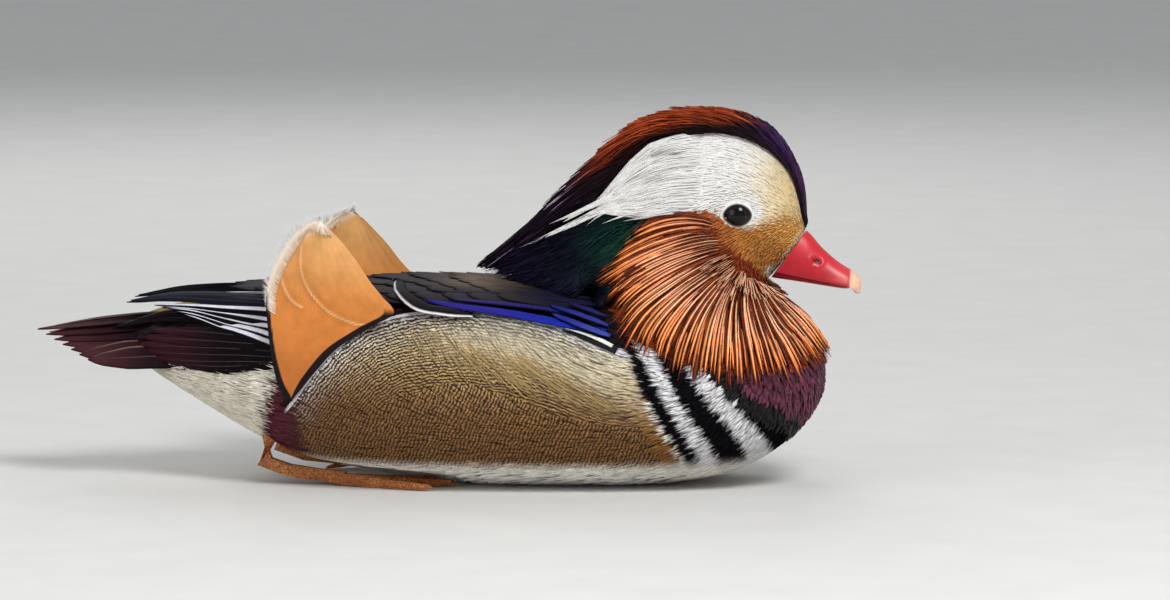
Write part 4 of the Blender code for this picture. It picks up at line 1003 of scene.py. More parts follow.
def body_coats(side):
    def breast(points, uv):
        front = bar_side(BARS[-1][0], uv) > -8
        return front & (uv[:, 1] > 290) & (points[:, 0] > 0.08) & outside_face(points)

    def bars(points, uv):
        first = bar_side(BARS[0][0], uv) > -6
        return (first & (bar_side(BARS[-1][0], uv) < 6) & (uv[:, 1] > 315)
                & (points[:, 2] > BELLY_LOW) & outside_face(points))

    def belly(points, uv):
        return (points[:, 2] < 0.0135) & (uv[:, 0] > 300) & ~in_well(points)

    def white_rear(points, uv):
        return (uv[:, 0] < 306) & (uv[:, 1] > 352) & ~inside(FLANK, uv)

    def back(points, uv):
        return (uv[:, 1] < 345) & (uv[:, 0] < 640) & outside_face(points) & ~inside(FLANK, uv)

    def tail_length(uv):
        return np.interp(uv[:, 0], (130, 200, 300), (0.010, 0.014, 0.010))

    coat("breast_coat", side, BREAST_MATERIAL, 0.0016, breast, 0.0066, 0.0012, 0.0016, vary=0.28,
         section=VANE, edge=0.9, blunt=0.15, stray=0.2, slot="ruff")
    coat("bar_coat", side, PLAIN_MATERIAL, 0.0013, bars, 0.0085, 0.00062, 0.0011, blunt=0.05,
         vary=0.05, mottle=0.9, local=True)
    coat("belly_coat", side, PLAIN_MATERIAL, 0.0034, belly, 0.0095, 0.0021, 0.0009, section=VANE,
         vary=0.04)
    coat("rear_coat", side, DOWN_MATERIAL, 0.0014, white_rear, tail_length, 0.00055, 0.0012,
         blunt=0.0, stray=0.12, vary=0.025, mottle=2.0, local=True, root_shade=0.9, slot="tail")
    coat("back_coat", side, DARK_MATERIAL, 0.0034, back, 0.010, 0.0021, 0.0009, section=VANE,
         slot="wing")


def face_coats(side):
    def near_eye(uv):
        return np.linalg.norm((uv - (739.5, 211)) / (14.5, 11.5), axis=-1)

    def brow(points, uv):
        head = ~outside_face(points)
        upper = uv[:, 1] < down_at(BROW_LOW, uv[:, 0]) + 4
        return head & inside(FACE, uv) & upper & (near_eye(uv) > 1) & (uv[:, 0] < 803)

    def cheek(points, uv):
        below = uv[:, 1] > down_at(BROW_LOW, uv[:, 0]) - 1
        face = inside(FACE, uv) | inside(RUFF_BASE, uv)
        return ~outside_face(points) & face & below & (near_eye(uv) > 1)

    def brow_length(uv):
        length = np.interp(uv[:, 0], (620, 700, 760, 800), (0.011, 0.0085, 0.0048, 0.0022))
        return np.minimum(length, np.interp(near_eye(uv), (1, 1.5, 3), (0.0022, 0.003, 0.011)))

    def cheek_length(uv):
        length = np.interp(uv[:, 0], (660, 730, 770, 800), (0.0060, 0.0042, 0.0026, 0.0016))
        return np.minimum(length, np.interp(near_eye(uv), (1, 1.5, 3), (0.0016, 0.003, 0.011)))

    coat("brow_coat", side, SILK_MATERIAL, 0.00083, brow, brow_length, 0.00044, 0.00020, blunt=0.0,
         vary=0.012, stray=0.03, thick=0.00005, edge=0.0, root_shade=0.97, local=True, slot="crest")
    coat("cheek_coat", side, CHEEK_MATERIAL, 0.00092, cheek, cheek_length, 0.00040, 0.0007,
         blunt=0.1, vary=0.12, stray=0.14, thick=0.00014, edge=0.35, root_shade=0.75, slot="ruff")


# The ends of the ruff's foremost lane, which runs down the middle from the throat
THROAT, BREAST_TIP = (0.1345, -0.0006, 0.0815), (0.1590, -0.0012, 0.0540)


def hackle_lines():
    """The lanes of the ruff, bridging the hollow between the neck and the breast."""
    lanes = []
    for line in RUFF_LANES:
        places = curve(line, 30)
        y = np.abs([at(SKIN_TREE, *p)[1] for p in places])
        for _ in range(400):
            y[1:-1] = np.maximum(y[1:-1], (y[:-2] + y[2:]) / 2)
        lanes.append(place(places[:, 0], places[:, 1], -y))
    front = curve([THROAT, (np.array(THROAT) + BREAST_TIP) / 2 + (0.002, 0, 0.002), BREAST_TIP], 30)
    return np.array(lanes + [front])


def hackle_paths(t, start, end, heights, rng, steps):
    """Paths in the fan of the ruff: lane t, from one share of the way to another."""
    lanes = hackle_lines()
    share = start[:, None] + (end - start)[:, None] * np.linspace(0, 1, steps)
    share = np.clip(share, 0, 1)
    lane = np.clip(t, 0, 1)[:, None] * (len(lanes) - 1)
    lane = np.clip(lane + rng.normal(0, 0.05, (len(t), 1)) * share, 0, len(lanes) - 1.001)
    along = np.clip(share * 29, 0, 28.999)
    i, j = lane.astype(int), along.astype(int)
    i = np.broadcast_to(i, j.shape)
    p, q = (np.broadcast_to(lane, j.shape) - i)[..., None], (along - j)[..., None]
    paths = between(lanes, i, j, p, q)
    knots = np.array((0.0, 5.0, 8.0, 9.0))
    turned = np.array(((0.15, -1.0, 0.35), (0.3, -1.0, 0.15), (0.8, -0.7, 0.15), (1.0, -0.02, 0.3)))
    out = unit(np.stack([np.interp(lane, knots, turned[:, k]) for k in range(3)], -1))
    paths = paths + out * heights[..., None]
    rear = (1 - step(2.8, 4.0, lane)) * (1 - step(284, 304, side_view(paths)[..., 1]))
    uv = side_view(paths)
    least = -NAPE_SHEET(uv) - 0.0002 - heights * 0.35
    y = np.where(rear > 0, paths[..., 1] + (np.minimum(paths[..., 1], least) - paths[..., 1]) * (
        rear * step(0.05, 0.25, share)), paths[..., 1])
    for _ in range(6):
        y[:, 1:-1] = (y[:, :-2] + 2 * y[:, 1:-1] + y[:, 2:]) / 4
    paths[..., 1] = np.minimum(y, -0.0002)
    paths, normals = above(paths, SKIN_TREE, heights * 0.8)
    return paths, unit(normals * 0.3 + out)


def ruff(side):
    """The ruff: pale-shafted hackles in a fan over the breast, on a bed of rust-dark ones whose
    darkness is painted shade beneath them.
    """
    rng = draws(side, 5)
    # Lowest share and highest share of the start, count, height, half width, brightness, length
    layers = (
        (0.00, 0.50, 130, 0.0024, 1.50, 0.0, (0.30, 0.60)),
        (0.04, 0.30, 40, 0.0031, 0.84, 0.70, (0.55, 0.9)),
        (0.00, 0.14, 42, 0.0038, 0.92, 1.0, (0.80, 1.0)),
        (0.20, 0.60, 46, 0.0034, 0.60, 0.45, (0.28, 0.45)),
        (0.00, 0.14, 110, 0.0040, 0.62, 0.9, (0.08, 0.14)),
    )
    t, start, end, lift, wide, bright = [], [], [], [], [], []
    for low, high, count, height, half, glow, (short, long) in layers:
        lane = (np.arange(count) + rng.uniform(0.15, 0.85, count)) / count
        if long < 0.2:
            lane = rng.uniform(0.30, 0.98, count)
        begin = rng.uniform(low, high, count)
        t.append(lane)
        start.append(begin)
        far = begin + rng.uniform(short, long, count)
        end.append(np.minimum(far, rng.uniform(0.84, 1.0, count)))
        lift.append(np.full(count, height))
        wide.append(np.full(count, half))
        bright.append(glow * rng.uniform(0.75, 1.0, count))
    t, start, end, lift, wide, bright = (
        np.concatenate(part) for part in (t, start, end, lift, wide, bright))
    steps = 14
    s = np.linspace(0, 1, steps)
    heights = lift[:, None] * np.interp(s, [0, 0.12, 0.6, 1], [-0.1, 0.55, 0.9, 1.0])[None]
    heights = heights * rng.uniform(0.9, 1.1, (len(t), 1))
    paths, facing = hackle_paths(t, start, end, heights, rng, steps)
    at_share = start[:, None] + (end - start)[:, None] * s
    spread = np.interp(at_share, [0, 0.3, 0.7, 1.0], [0.00036, 0.00058, 0.00088, 0.00096])
    taper = np.interp(s, [0, 0.15, 0.7, 0.9, 1], [0.5, 1, 1, 0.66, 0.05])
    half = spread * wide[:, None] * taper * rng.uniform(0.88, 1.12, (len(t), 1))
    own = np.clip(rng.normal(1, 0.14, len(t)), 0.7, 1.35)[:, None, None]
    glow = bright[:, None, None] * np.interp(t, (0, 0.12, 0.3), (0.45, 0.8, 1.0))[:, None, None]
    lit = (bright > 0)[:, None, None]

    def colours(points, share, over):
        along = start[:, None, None] + (end - start)[:, None, None] * share
        edge = np.abs(over)
        # Painted shade: the bed beneath the upper hackles is a darker rust than they are, darkest
        # at its edges.
        bed = blend((126, 54, 20), (104, 40, 18), step(0.2, 0.6, along))
        front = step(0.62, 0.9, t)[:, None, None] * step(0.45, 0.9, along)
        bed = blend(bed, (98, 40, 50), front * 0.8)
        bed = blend(bed, (52, 18, 8), step(0.35, 0.9, edge) * 0.8)
        body = blend((200, 92, 34), (240, 126, 52), step(0.10, 0.55, along))
        body = blend(body, (206, 92, 42), step(0.80, 1.0, along))
        # Painted shade: each upper hackle darkens to a deep rust at its edges, the shade in the
        # gaps between hackles.
        body = blend(body, (84, 28, 10), step(0.40, 0.90, edge) * 0.92)
        core = blend((255, 238, 202), (252, 182, 104), step(0.42, 0.88, along))
        line = (1 - step(0.06, 0.44, edge)) * glow * (1 - step(0.84, 0.99, along))
        body = blend(body, core, line)
        return np.where(lit[..., None], body, bed) * own[..., None]

    section = ((-1.0, -0.5), (-0.5, 0.15), (-0.2, 0.45), (0.0, 0.72), (0.2, 0.45), (0.5, 0.15),
               (1.0, -0.5))
    feathers("ruff", side, "ruff", paths, facing, half, 0.00050, colours, HACKLE_MATERIAL, section)
    count = 900
    t = rng.uniform(0, 1, count)
    start = rng.uniform(0.0, 0.7, count)
    end = np.minimum(start + rng.uniform(0.2, 0.45, count), rng.uniform(0.94, 1.0, count))
    steps = 7
    s = np.linspace(0, 1, steps)
    heights = rng.uniform(0.0016, 0.0034, (count, 1)) * np.interp(s, [0, 0.3, 1], [0.2, 0.85, 1.1])
    paths, facing = hackle_paths(t, start, end, heights, rng, steps)
    half = 0.00017 * np.interp(s, [0, 0.2, 0.8, 1], [0.7, 1, 0.8, 0.1])[None] * np.ones((count, 1))
    tone = rng.uniform(0, 1, count)

    def fibre_colours(points, share, over):
        base = blend((70, 24, 10), (206, 98, 42), tone[:, None, None] ** 2.0)
        # Painted shade: the fibres are darker towards their roots.
        return np.broadcast_to(base, points.shape) * (0.8 + 0.3 * share[..., None])

    feathers("ruff_fibres", side, "ruff", paths, facing, half, 0.00017, fibre_colours,
             HACKLE_MATERIAL)


# The lanes of the ruff in the side view, from the cheek and throat outwards
RUFF_LANES = (
    ((716, 224), (690, 217), (664, 218), (643, 226), (622, 240)),
    ((722, 236), (690, 239), (655, 250), (624, 264), (593, 281)),
    ((727, 246), (698, 252), (660, 265), (625, 286), (600, 310)),
    ((730, 254), (702, 267), (668, 288), (636, 313), (612, 346)),
    ((733, 262), (704, 281), (676, 303), (652, 334), (644, 366)),
    ((737, 268), (716, 291), (698, 321), (688, 352), (681, 384)),
    ((742, 273), (731, 298), (727, 328), (726, 360), (726, 390)),
    ((748, 277), (753, 301), (764, 332), (775, 362), (785, 389)),
    ((754, 280), (770, 302), (789, 326), (806, 348), (820, 368)),
)


# Crest, brow plumes and nape

def crest_place(angle, across, depth):
    """A place in the crest: depth runs from its outline (0) to the crown or its underside (1)."""
    table, line = np.array(HEAD_NECK), np.array(CREST)
    near, far, half = (smooth(table[:, 0], table[:, k], angle) for k in (1, 2, 3))
    lower = (near + far) / 2 + (far - near) / 2 * np.sqrt(1 - np.minimum(across / half, 0.98) ** 2)
    outer = smooth(line[:, 0], line[:, 1], angle) - 0.0030 * (across / 0.0115) ** 2
    turn = np.radians(angle)
    end = np.array(CREST_UNDER_END) - [PIVOT_X, PIVOT_Z]
    cut = math.radians(HEAD_END)
    begin = CREST_UNDER_RADIUS * np.array([math.cos(cut), math.sin(cut)])
    slope = (end - begin) / np.linalg.norm(end - begin)
    under = (begin[0] * slope[1] - begin[1] * slope[0]) / (
        np.cos(turn) * slope[1] - np.sin(turn) * slope[0])
    behind = np.clip((angle - HEAD_END + 8) / 8, 0, 1)
    lower = lower * (1 - behind) + np.maximum(lower, under) * behind
    r = outer + (np.minimum(lower, outer) - outer) * depth
    return np.stack([PIVOT_X + r * np.cos(turn), -across, PIVOT_Z + r * np.sin(turn)], -1)


def crest_reach(angle):
    """How far across the crest reaches at each angle, out to the side of the nape."""
    angles = np.linspace(79, 176, 50)
    reach = np.zeros(len(angles))
    for k, one in enumerate(angles):
        uv = side_view(crest_place(np.full(1, one), np.full(1, 0.004), np.full(1, 0.75)))[0]
        reach[k] = abs(at(NAPE_TREE, *uv)[1]) - 0.0009
    tries = np.linspace(0.0005, 0.0165, 40)
    for k in np.flatnonzero(angles < 128):
        uv = side_view(crest_place(np.full(40, angles[k]), tries, np.ones(40)))
        over = uv[:, 1] < down_at(BROW_TOP[::-1], uv[:, 0]) + 1.5
        reach[k] = tries[over].max() if over.any() else 0.002
    reach = np.clip(reach, 0.0030, 0.0150)
    return np.interp(angle, angles, np.convolve(np.pad(reach, 3, "edge"), np.ones(7) / 7, "valid"))


# Angles round the pivot: where the plumes begin, how far on the last ones do, and their tips
CREST_FIRST, CREST_SPAN, CREST_LAST = 79.5, 72, 175.4


def crest(side):
    """The crest, in fine plumes that rise from the crown and hang over the nape."""
    rng = draws(side, 7)
    n, steps = 2300, 7
    share = np.linspace(0, 1, steps)
    w = rng.uniform(0, 1, n) ** 0.85
    root = CREST_FIRST + CREST_SPAN * rng.uniform(0, 1, n) ** 0.85
    length = np.interp(root, (80, 95, 115, 146), (9, 13, 20, 27)) * rng.uniform(0.7, 1.2, n)
    tip = np.minimum(root + length, CREST_LAST - rng.uniform(0, 3.0, n) ** 1.3)
    long = rng.uniform(0, 1, n) < 0.32
    tip = np.where(long & (root > 120), CREST_LAST - rng.exponential(4.5, n), tip)
    deep = np.clip(rng.uniform(0, 1, n) * 1.05 + 0.25 * w**2 - 0.06, 0.0, 1.15)
    flick = rng.uniform(0, 1, n) < 0.12
    deep = np.where(flick, -0.06 * rng.uniform(0, 1, n), deep)
    angle = root[:, None] + (tip - root)[:, None] * share
    reach = crest_reach(angle)
    across = w[:, None] * reach
    depth = np.array([np.interp(share, [0, 0.14, 0.4, 1], [1.25, 1.0, 0.25 + 0.75 * d, d])
                      for d in deep])
    brow = np.array(BROW_TOP[::-1]).T
    for _ in range(12):
        uv = side_view(crest_place(angle, across, depth))
        hides = (uv[..., 1] > np.interp(uv[..., 0], *brow) + 0.5) & (uv[..., 0] > 524) & (depth > 0)
        depth = np.where(hides & (across > 0.0035), depth - 0.09, depth)
    smoothed = (depth[:, :-2] + depth[:, 1:-1] + depth[:, 2:]) / 3
    depth = np.concatenate([depth[:, :1], smoothed, depth[:, -1:]], 1)
    wisp = rng.normal(0, 0.0006, (n, 1)) * share**2 * (tip > 120)[:, None]
    paths = crest_place(angle, across, depth) + wisp[..., None] * (0, 0.6, 1)
    turn = np.radians(angle)
    facing = np.stack([np.cos(turn), -across * 60, np.sin(turn)], -1)
    half = np.interp(share, [0, 0.2, 0.7, 1], [0.6, 1, 0.75, 0.05]) * 0.00044
    half = half[None] * rng.uniform(0.8, 1.25, (n, 1))
    half = half * np.interp(root, (80, 100), (0.8, 1))[:, None]
    own = rng.normal(1, 0.25, n)
    tone = rng.uniform(0, 1, n)
    glint = rng.uniform(0, 1, n) < 0.07

    def colours(points, share, over):
        uv = side_view(points)
        angle = np.degrees(np.arctan2(points[..., 2] - PIVOT_Z, points[..., 0] - PIVOT_X)) % 360
        angle = angle + (tone[:, None, None] - 0.5) * 9
        top = down_at(CREST_OUTLINE, uv[..., 0])
        under = uv[..., 1] - top
        band = np.interp(uv[..., 0], (520, 600, 660, 720, 760), (11, 22, 24, 20, 9))
        base = blend((22, 11, 14), (44, 18, 16), tone[:, None, None] * 0.7)
        red = blend((104, 32, 18), (192, 84, 42), tone[:, None, None])
        warm = step(101, 108, angle) * (1 - step(141, 156, angle))
        warm = warm * (1 - step(0.60, 0.95, under / band))
        base = blend(base, red, warm)
        # Partly the crest's own purple gloss, partly painted sheen: the front plumes painted
        # purple.
        front = 1 - step(97, 108, angle)
        purple = blend((20, 17, 40), (92, 54, 106), tone[:, None, None] ** 1.3)
        base = blend(base, purple, front * (1 - 0.75 * step(12, 24, under)))
        nose = 1 - step(80, 92, angle)
        base = blend(base, (12, 16, 26), nose * 0.7)
        # Black rear plumes, a few painted purple as sheen on their gloss.
        rear = step(144, 162, angle)
        base = blend(base, blend((10, 8, 12), (56, 34, 62), tone[:, None, None] ** 3),
                     rear * 0.9)
        # Painted highlight: a few rear plumes painted pale lilac, standing in for glints of light
        # on their gloss.
        pale = rear * glint[:, None, None] * step(0.45, 0.7, share)
        base = blend(base, (196, 176, 206), pale * 0.8 * (1 - step(0.5, 1.1, under / band)))
        # Painted shade: each plume darker towards its root.
        return base * np.clip(own, 0.5, 1.7)[:, None, None, None] * (0.7 + 0.3 * share[..., None])

    feathers("crest", side, "crest", paths, facing, half, 0.0003, colours, GLOSS_MATERIAL)


CREST_OUTLINE = ((475, 268), (510, 243), (545, 207), (580, 170), (610, 142), (640, 120), (670, 110),
                 (700, 107), (740, 112), (765, 122), (783, 140), (795, 160), (803, 180), (806, 225))


def brow_plumes(side):
    """The white plumes that draw the brow out to its points behind the head."""
    rng = draws(side, 9)
    n, bed, steps = 620, 70, 9
    share = np.linspace(0, 1, steps)
    w = (np.arange(n) + rng.uniform(0, 1, n)) / n
    rng.shuffle(w)
    w = np.concatenate([w, np.linspace(0.01, 0.99, bed)])
    u0 = np.concatenate([rng.uniform(612, 712, n), np.full(bed, 716)])
    u1 = np.maximum(u0 - rng.uniform(30, 60, n + bed),
                    598 + 12 * np.abs(w - 0.4) + rng.normal(0, 4, n + bed))
    u1[n:] = 603 + 12 * np.abs(w[n:] - 0.4)
    u = u0[:, None] + (u1 - u0)[:, None] * share
    top, low = np.array(BROW_TOP[::-1]).T, np.array(BROW_LOW).T
    lane = w[:, None] * 0.98 + rng.normal(0, 0.01, (n + bed, 1)) * share
    v = (np.interp(u, *top) + 0.6) * (1 - lane) + np.interp(u, *low) * lane
    lines = [np.stack([u, v], -1)]
    for places, wide, count in PLUMES:
        line = curve(places, 60)
        away = unit(np.gradient(line, axis=0))
        away = np.stack([-away[:, 1], away[:, 0]], -1)
        begin = rng.uniform(0, 25, count) * (rng.uniform(0, 1, count) < 0.6)
        end = rng.uniform(46, 59, count)
        off = rng.uniform(-1, 1, count) * wide
        k = begin[:, None] + (end - begin)[:, None] * share
        room = (1 - (k / 59) ** 1.6)[..., None] * off[:, None, None]
        lines.append(along_line(line, k) + along_line(away, k) * room)
    uv = np.concatenate(lines)
    total = len(uv)
    is_bed = (np.arange(total) >= n) & (np.arange(total) < n + bed)
    lift = rng.uniform(0.0002, 0.0005, (total, 1)) * np.interp(
        share, [0, 0.3, 0.6, 1], [-1.6, 0.5, 0.9, 1])
    lift[is_bed] = np.interp(share, [0, 0.25, 1], [-0.0010, -0.0001, -0.0001])
    rest = step(660, 712, uv[..., 0])
    y = -NAPE_SHEET(uv) * (1 - rest) - HEAD_SHEET(uv) * rest - 0.0002
    paths = place(uv[..., 0], uv[..., 1], y) + lift[..., None] * BACK
    facing = np.broadcast_to(np.array([0.1, -1, 0.3]), paths.shape)
    half = 0.00042 * np.interp(share, [0, 0.2, 0.6, 1], [0.7, 1, 0.75, 0.08])
    half = half[None] * rng.uniform(0.8, 1.2, (total, 1))
    half[n + bed:] *= 0.75
    half[is_bed] *= 2.8
    tone = rng.uniform(0.97, 1.02, total)

    def colours(points, share, over):
        # Painted shade: each plume slightly darker towards its root.
        return linear(WHITE) * tone[:, None, None, None] * (
            0.96 + 0.04 * share[..., None]) * np.ones_like(points)

    feathers("brow_plumes", side, "crest", paths, facing, half, 0.00006, colours, SILK_MATERIAL)


NAPE_TIPS = ((0.0240, 0.0015, 0.0895), (0.0290, 0.0060, 0.0890), (0.0380, 0.0160, 0.0880),
             (0.0520, 0.0290, 0.0835), (0.0670, 0.0400, 0.0775), (0.0760, 0.0440, 0.0740))


def nape(side):
    """The dark glossy plumes of the nape and neck side, hanging over the shoulders."""
    rng = draws(side, 13)
    n, steps = 1300, 8
    share = np.linspace(0, 1, steps)
    angle = rng.uniform(132, 176, n)
    turn = np.radians(rng.uniform(3, 94, n))
    start = neck_skin(angle, turn) * (1, -1, 1)
    uv = side_view(start)
    keep = ~(inside(FACE, uv) | (uv[:, 0] > 652) | inside(RUFF_BASE, uv + (10, -4)))
    start, angle, turn = start[keep], angle[keep], turn[keep]
    n = len(start)
    t = np.clip(turn / math.radians(94) + rng.normal(0, 0.06, n), 0, 1)
    line = np.array(NAPE_TIPS)
    tip = np.stack([np.interp(t, np.linspace(0, 1, len(line)), line[:, k]) for k in range(3)], 1)
    tip[:, 1] *= -1
    reach = np.interp(angle, (136, 160, 176), (0.76, 0.9, 1.0)) * rng.uniform(0.66, 1.04, n)
    tip = start + (tip - start) * reach[:, None]
    middle = (start + tip) / 2 + np.stack([0 * t, -0.003 + 0 * t, 0.0045 * (1 - t)], 1)
    paths = np.array([curve([a, b, c], steps) for a, b, c in zip(start, middle, tip)])
    lift = rng.uniform(0.0004, 0.0034, (n, 1)) * np.interp(share, [0, 0.2, 1], [0.0, 1, 1])
    paths, facing = above(paths, SKIN_TREE, lift)
    over_wing = np.interp(paths[..., 0], (0.045, 0.070), (0.0080, 0.0035))
    paths, _ = above(paths, SKIN_TREE, np.where(share > 0.4, over_wing * 0.85, 0) + lift * 0.6)
    facing = facing + np.array([0, 0, 0.3])
    lanes, lane_facing = nape_lanes(rng, steps)
    paths, facing = np.concatenate([paths, lanes]), np.concatenate([facing, lane_facing])
    n = len(paths)
    half = 0.00050 * np.interp(share, [0, 0.2, 0.65, 1], [0.6, 1, 0.8, 0.06])
    half = half[None] * rng.uniform(0.7, 1.25, (n, 1))
    tone = rng.uniform(0, 1, n)

    def colours(points, share, over):
        uv = side_view(points)
        # Painted sheen: the green gloss of the dark plumes, painted strongest round one spot on the
        # side of the neck.
        green = np.exp(-(((uv[..., 0] - 628) / 40) ** 2 + ((uv[..., 1] - 250) / 30) ** 2))
        base = blend(NAPE_BLUE, (16, 58, 44), green * 0.9)
        violet = step(0, 1, (590 - uv[..., 0]) / 70) * tone[:, None, None] ** 2
        base = blend(base, (60, 44, 92), violet * 0.5)
        return base * (0.55 + 0.9 * tone[:, None, None, None])

    feathers("nape", side, "crest", paths, facing, half, 0.0003, colours, GLOSS_MATERIAL)


# Wings, tail and sails

# Wing feathers that name themselves in the side view: places from root to tip, half width in
# view units, height over the body, colours at root and tip, colour and start of the edge
WING_FEATHERS = (
    (((560, 286), (500, 280), (450, 277), (374, 277)), 5.5, 3.6,
     (30, 29, 36), (44, 38, 38), (16, 15, 20), 0.75),
    (((575, 291), (515, 284), (460, 280), (402, 279)), 6.0, 4.0,
     (28, 28, 38), (46, 40, 42), (118, 100, 82), 0.93),
    (((590, 298), (540, 291), (480, 286), (422, 284)), 6.5, 4.5,
     (27, 28, 46), (38, 35, 46), (12, 10, 16), 0.78),
    (((598, 305), (550, 298), (495, 293), (434, 291)), 6.0, 4.9,
     (24, 26, 54), (34, 32, 50), (10, 9, 16), 0.78),
    (((606, 331), (560, 322), (505, 312), (455, 305), (424, 299)), 6.6, 4.4,
     (26, 44, 164), (44, 34, 128), (12, 10, 24), 0.84),
    (((600, 318), (550, 309), (500, 303), (450, 299)), 4.4, 4.8,
     (32, 34, 112), (50, 38, 104), (10, 9, 18), 0.70),
    (((610, 335), (590, 328), (572, 321), (552, 313)), 5.0, 5.0,
     (64, 76, 166), (40, 46, 146), (10, 10, 26), 0.62),
    (((608, 325), (588, 317), (570, 311), (550, 305)), 4.8, 5.3,
     (52, 58, 146), (34, 38, 124), (10, 10, 24), 0.62),
    (((606, 316), (588, 309), (568, 303)), 4.4, 5.5,
     (40, 42, 104), (30, 30, 84), (10, 10, 20), 0.62),
    (((474, 314), (448, 311), (420, 305), (404, 292), (394, 274)), 8.0, 5.8,
     (20, 13, 20), (14, 11, 17), (240, 238, 236), 0.58),
)
WING_TIERS = (
    (0.0385, 0.040, 0.0058, (0.062, 0.052, 0.042, 0.030, 0.018, 0.006)),
    (0.0310, 0.044, 0.0062, (0.062, 0.050, 0.038, 0.026, 0.014, 0.000)),
    (0.0235, 0.048, 0.0070, (0.060, 0.048, 0.036, 0.022, 0.008, -0.006)),
    (0.0160, 0.050, 0.0074, (0.056, 0.044, 0.030, 0.016, 0.002, -0.014)),
    (0.0085, 0.052, 0.0074, (0.052, 0.038, 0.024, 0.010, -0.006, -0.020)),
    (0.0022, 0.050, 0.0060, (0.050, 0.034, 0.018, 0.002, -0.012, -0.026)),
)
TERTIALS = ((0.0035, 0.0030, -0.088, 0.0070), (0.0110, 0.0085, -0.090, 0.0078),
            (0.0190, 0.0135, -0.086, 0.0074), (0.0260, 0.0180, -0.078, 0.0066))


def wing(side):
    """The folded wing: tiers of coverts and scapulars over the back, then the named feathers."""
    rng = draws(side, 17)
    steps = 14
    share = np.linspace(0, 1, steps)
    width = np.interp(share, [0, 0.25, 0.6, 0.85, 0.95, 1], [0.55, 0.9, 1, 0.8, 0.5, 0.12])
    paths, facing, half, tone = [], [], [], []
    for tier, (across, length, wide, roots) in enumerate(WING_TIERS):
        for k, root in enumerate(roots):
            x = root + rng.normal(0, 0.0010) - length * share
            turn = torso_angle(x, across * (1 - 0.12 * share))
            height = np.interp(share, [0, 0.25, 1], [0.0006, 0.0020, 0.0034 + 0.0003 * tier])
            spots = on_torso(x, turn, height)
            facing.append((spots - on_torso(x, turn, height - 0.001)) * (1, -1, 1))
            paths.append(spots * (1, -1, 1))
            half.append(wide * width)
            tone.append(rng.uniform(0.75, 1.25))
    for root_y, tip_y, tip_x, wide in TERTIALS:
        x = -0.030 + (tip_x + 0.030) * share
        turn = torso_angle(x, root_y + (tip_y - root_y) * share)
        height = np.interp(share, [0, 0.3, 1], [0.0015, 0.0046, 0.0085])
        spots = on_torso(x, turn, height)
        facing.append((spots - on_torso(x, turn, height - 0.001)) * (1, -1, 1))
        paths.append(spots * (1, -1, 1))
        half.append(wide * width)
        tone.append(0.9)
    tone = np.array(tone)

    def covert_colours(points, share, over):
        base = blend((22, 24, 34), (36, 31, 34), step(0.3, 0.9, share))
        # Painted shade: the coverts' edges and tips darker, where they overlap the next ones.
        base = blend(base, (12, 11, 16), step(0.7, 0.98, np.abs(over)) * 0.7)
        base = blend(base, (12, 11, 16), step(0.92, 1.0, share) * 0.6)
        # Painted highlight: a buff-tan sheen painted on the coverts round one spot on the back.
        painted_sheen = (side_view(points) - (492, 280)) / (44, 7)
        base = blend(base, (140, 120, 98), np.exp(-(painted_sheen**2).sum(-1)) * 0.55)
        return base * tone[:, None, None, None]

    obj = feathers("wing_coverts", side, "wing", paths, unit(np.array(facing)), half, 0.0004,
                   covert_colours, WING_MATERIAL, BROAD)
    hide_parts(f"wing_{WORD[side]}")
    steps = 18
    share = np.linspace(0, 1, steps)
    width = np.interp(share, [0, 0.2, 0.6, 0.85, 0.95, 1], [0.6, 0.9, 1, 0.8, 0.5, 0.1])
    paths, facing, half = [], [], []
    for places, wide, high, *_ in WING_FEATHERS:
        lift = high / 1000 * np.interp(share, [0, 0.2, 1], [0.5, 0.85, 1.0])
        spots, normals = over_body(curve(places, steps), lift)
        paths.append(spots)
        facing.append(normals)
        half.append(wide / PER_METRE * width)

    def named_colours(points, share, over):
        out = np.zeros_like(points)
        for k, (_, _, _, root, tip, edge, begins) in enumerate(WING_FEATHERS):
            base = blend(root, tip, step(0.15, 0.9, share[k]))
            upper = over[k] if edge[0] > 120 else np.abs(over[k])
            end = step(0.95, 1.0, share[k]) * (edge[0] < 120)
            out[k] = blend(base, edge, np.maximum(step(begins, begins + 0.16, upper), end))
        return out

    feathers("wing_scapulars", side, "wing", paths, facing, half, 0.0005, named_colours,
             WING_MATERIAL, BROAD)
    sliver(side)


def sliver(side):
    """The white and the black covert that show between the blue wing and the flank."""
    lines = (((616, 350), (598, 342), (580, 335), (562, 329)),
             ((612, 345), (598, 338), (582, 332), (566, 328)))
    colours = ((14, 12, 16), (236, 234, 230))
    share = np.linspace(0, 1, 10)
    width = np.interp(share, [0, 0.3, 0.7, 1], [0.9, 1, 0.7, 0.1])
    paths, facing = [], []
    for k, line in enumerate(lines):
        spots, normals = over_body(curve(line, 10), 0.0018 + 0.0008 * k)
        paths.append(spots)
        facing.append(normals)

    def tint(points, share, over):
        return np.stack([np.broadcast_to(linear(c), points[0].shape) for c in colours])

    feathers("wing_sliver", side, "wing", paths, facing, [0.0017 * width, 0.0010 * width], 0.0004,
             tint, PLAIN_VANE_MATERIAL, BROAD)


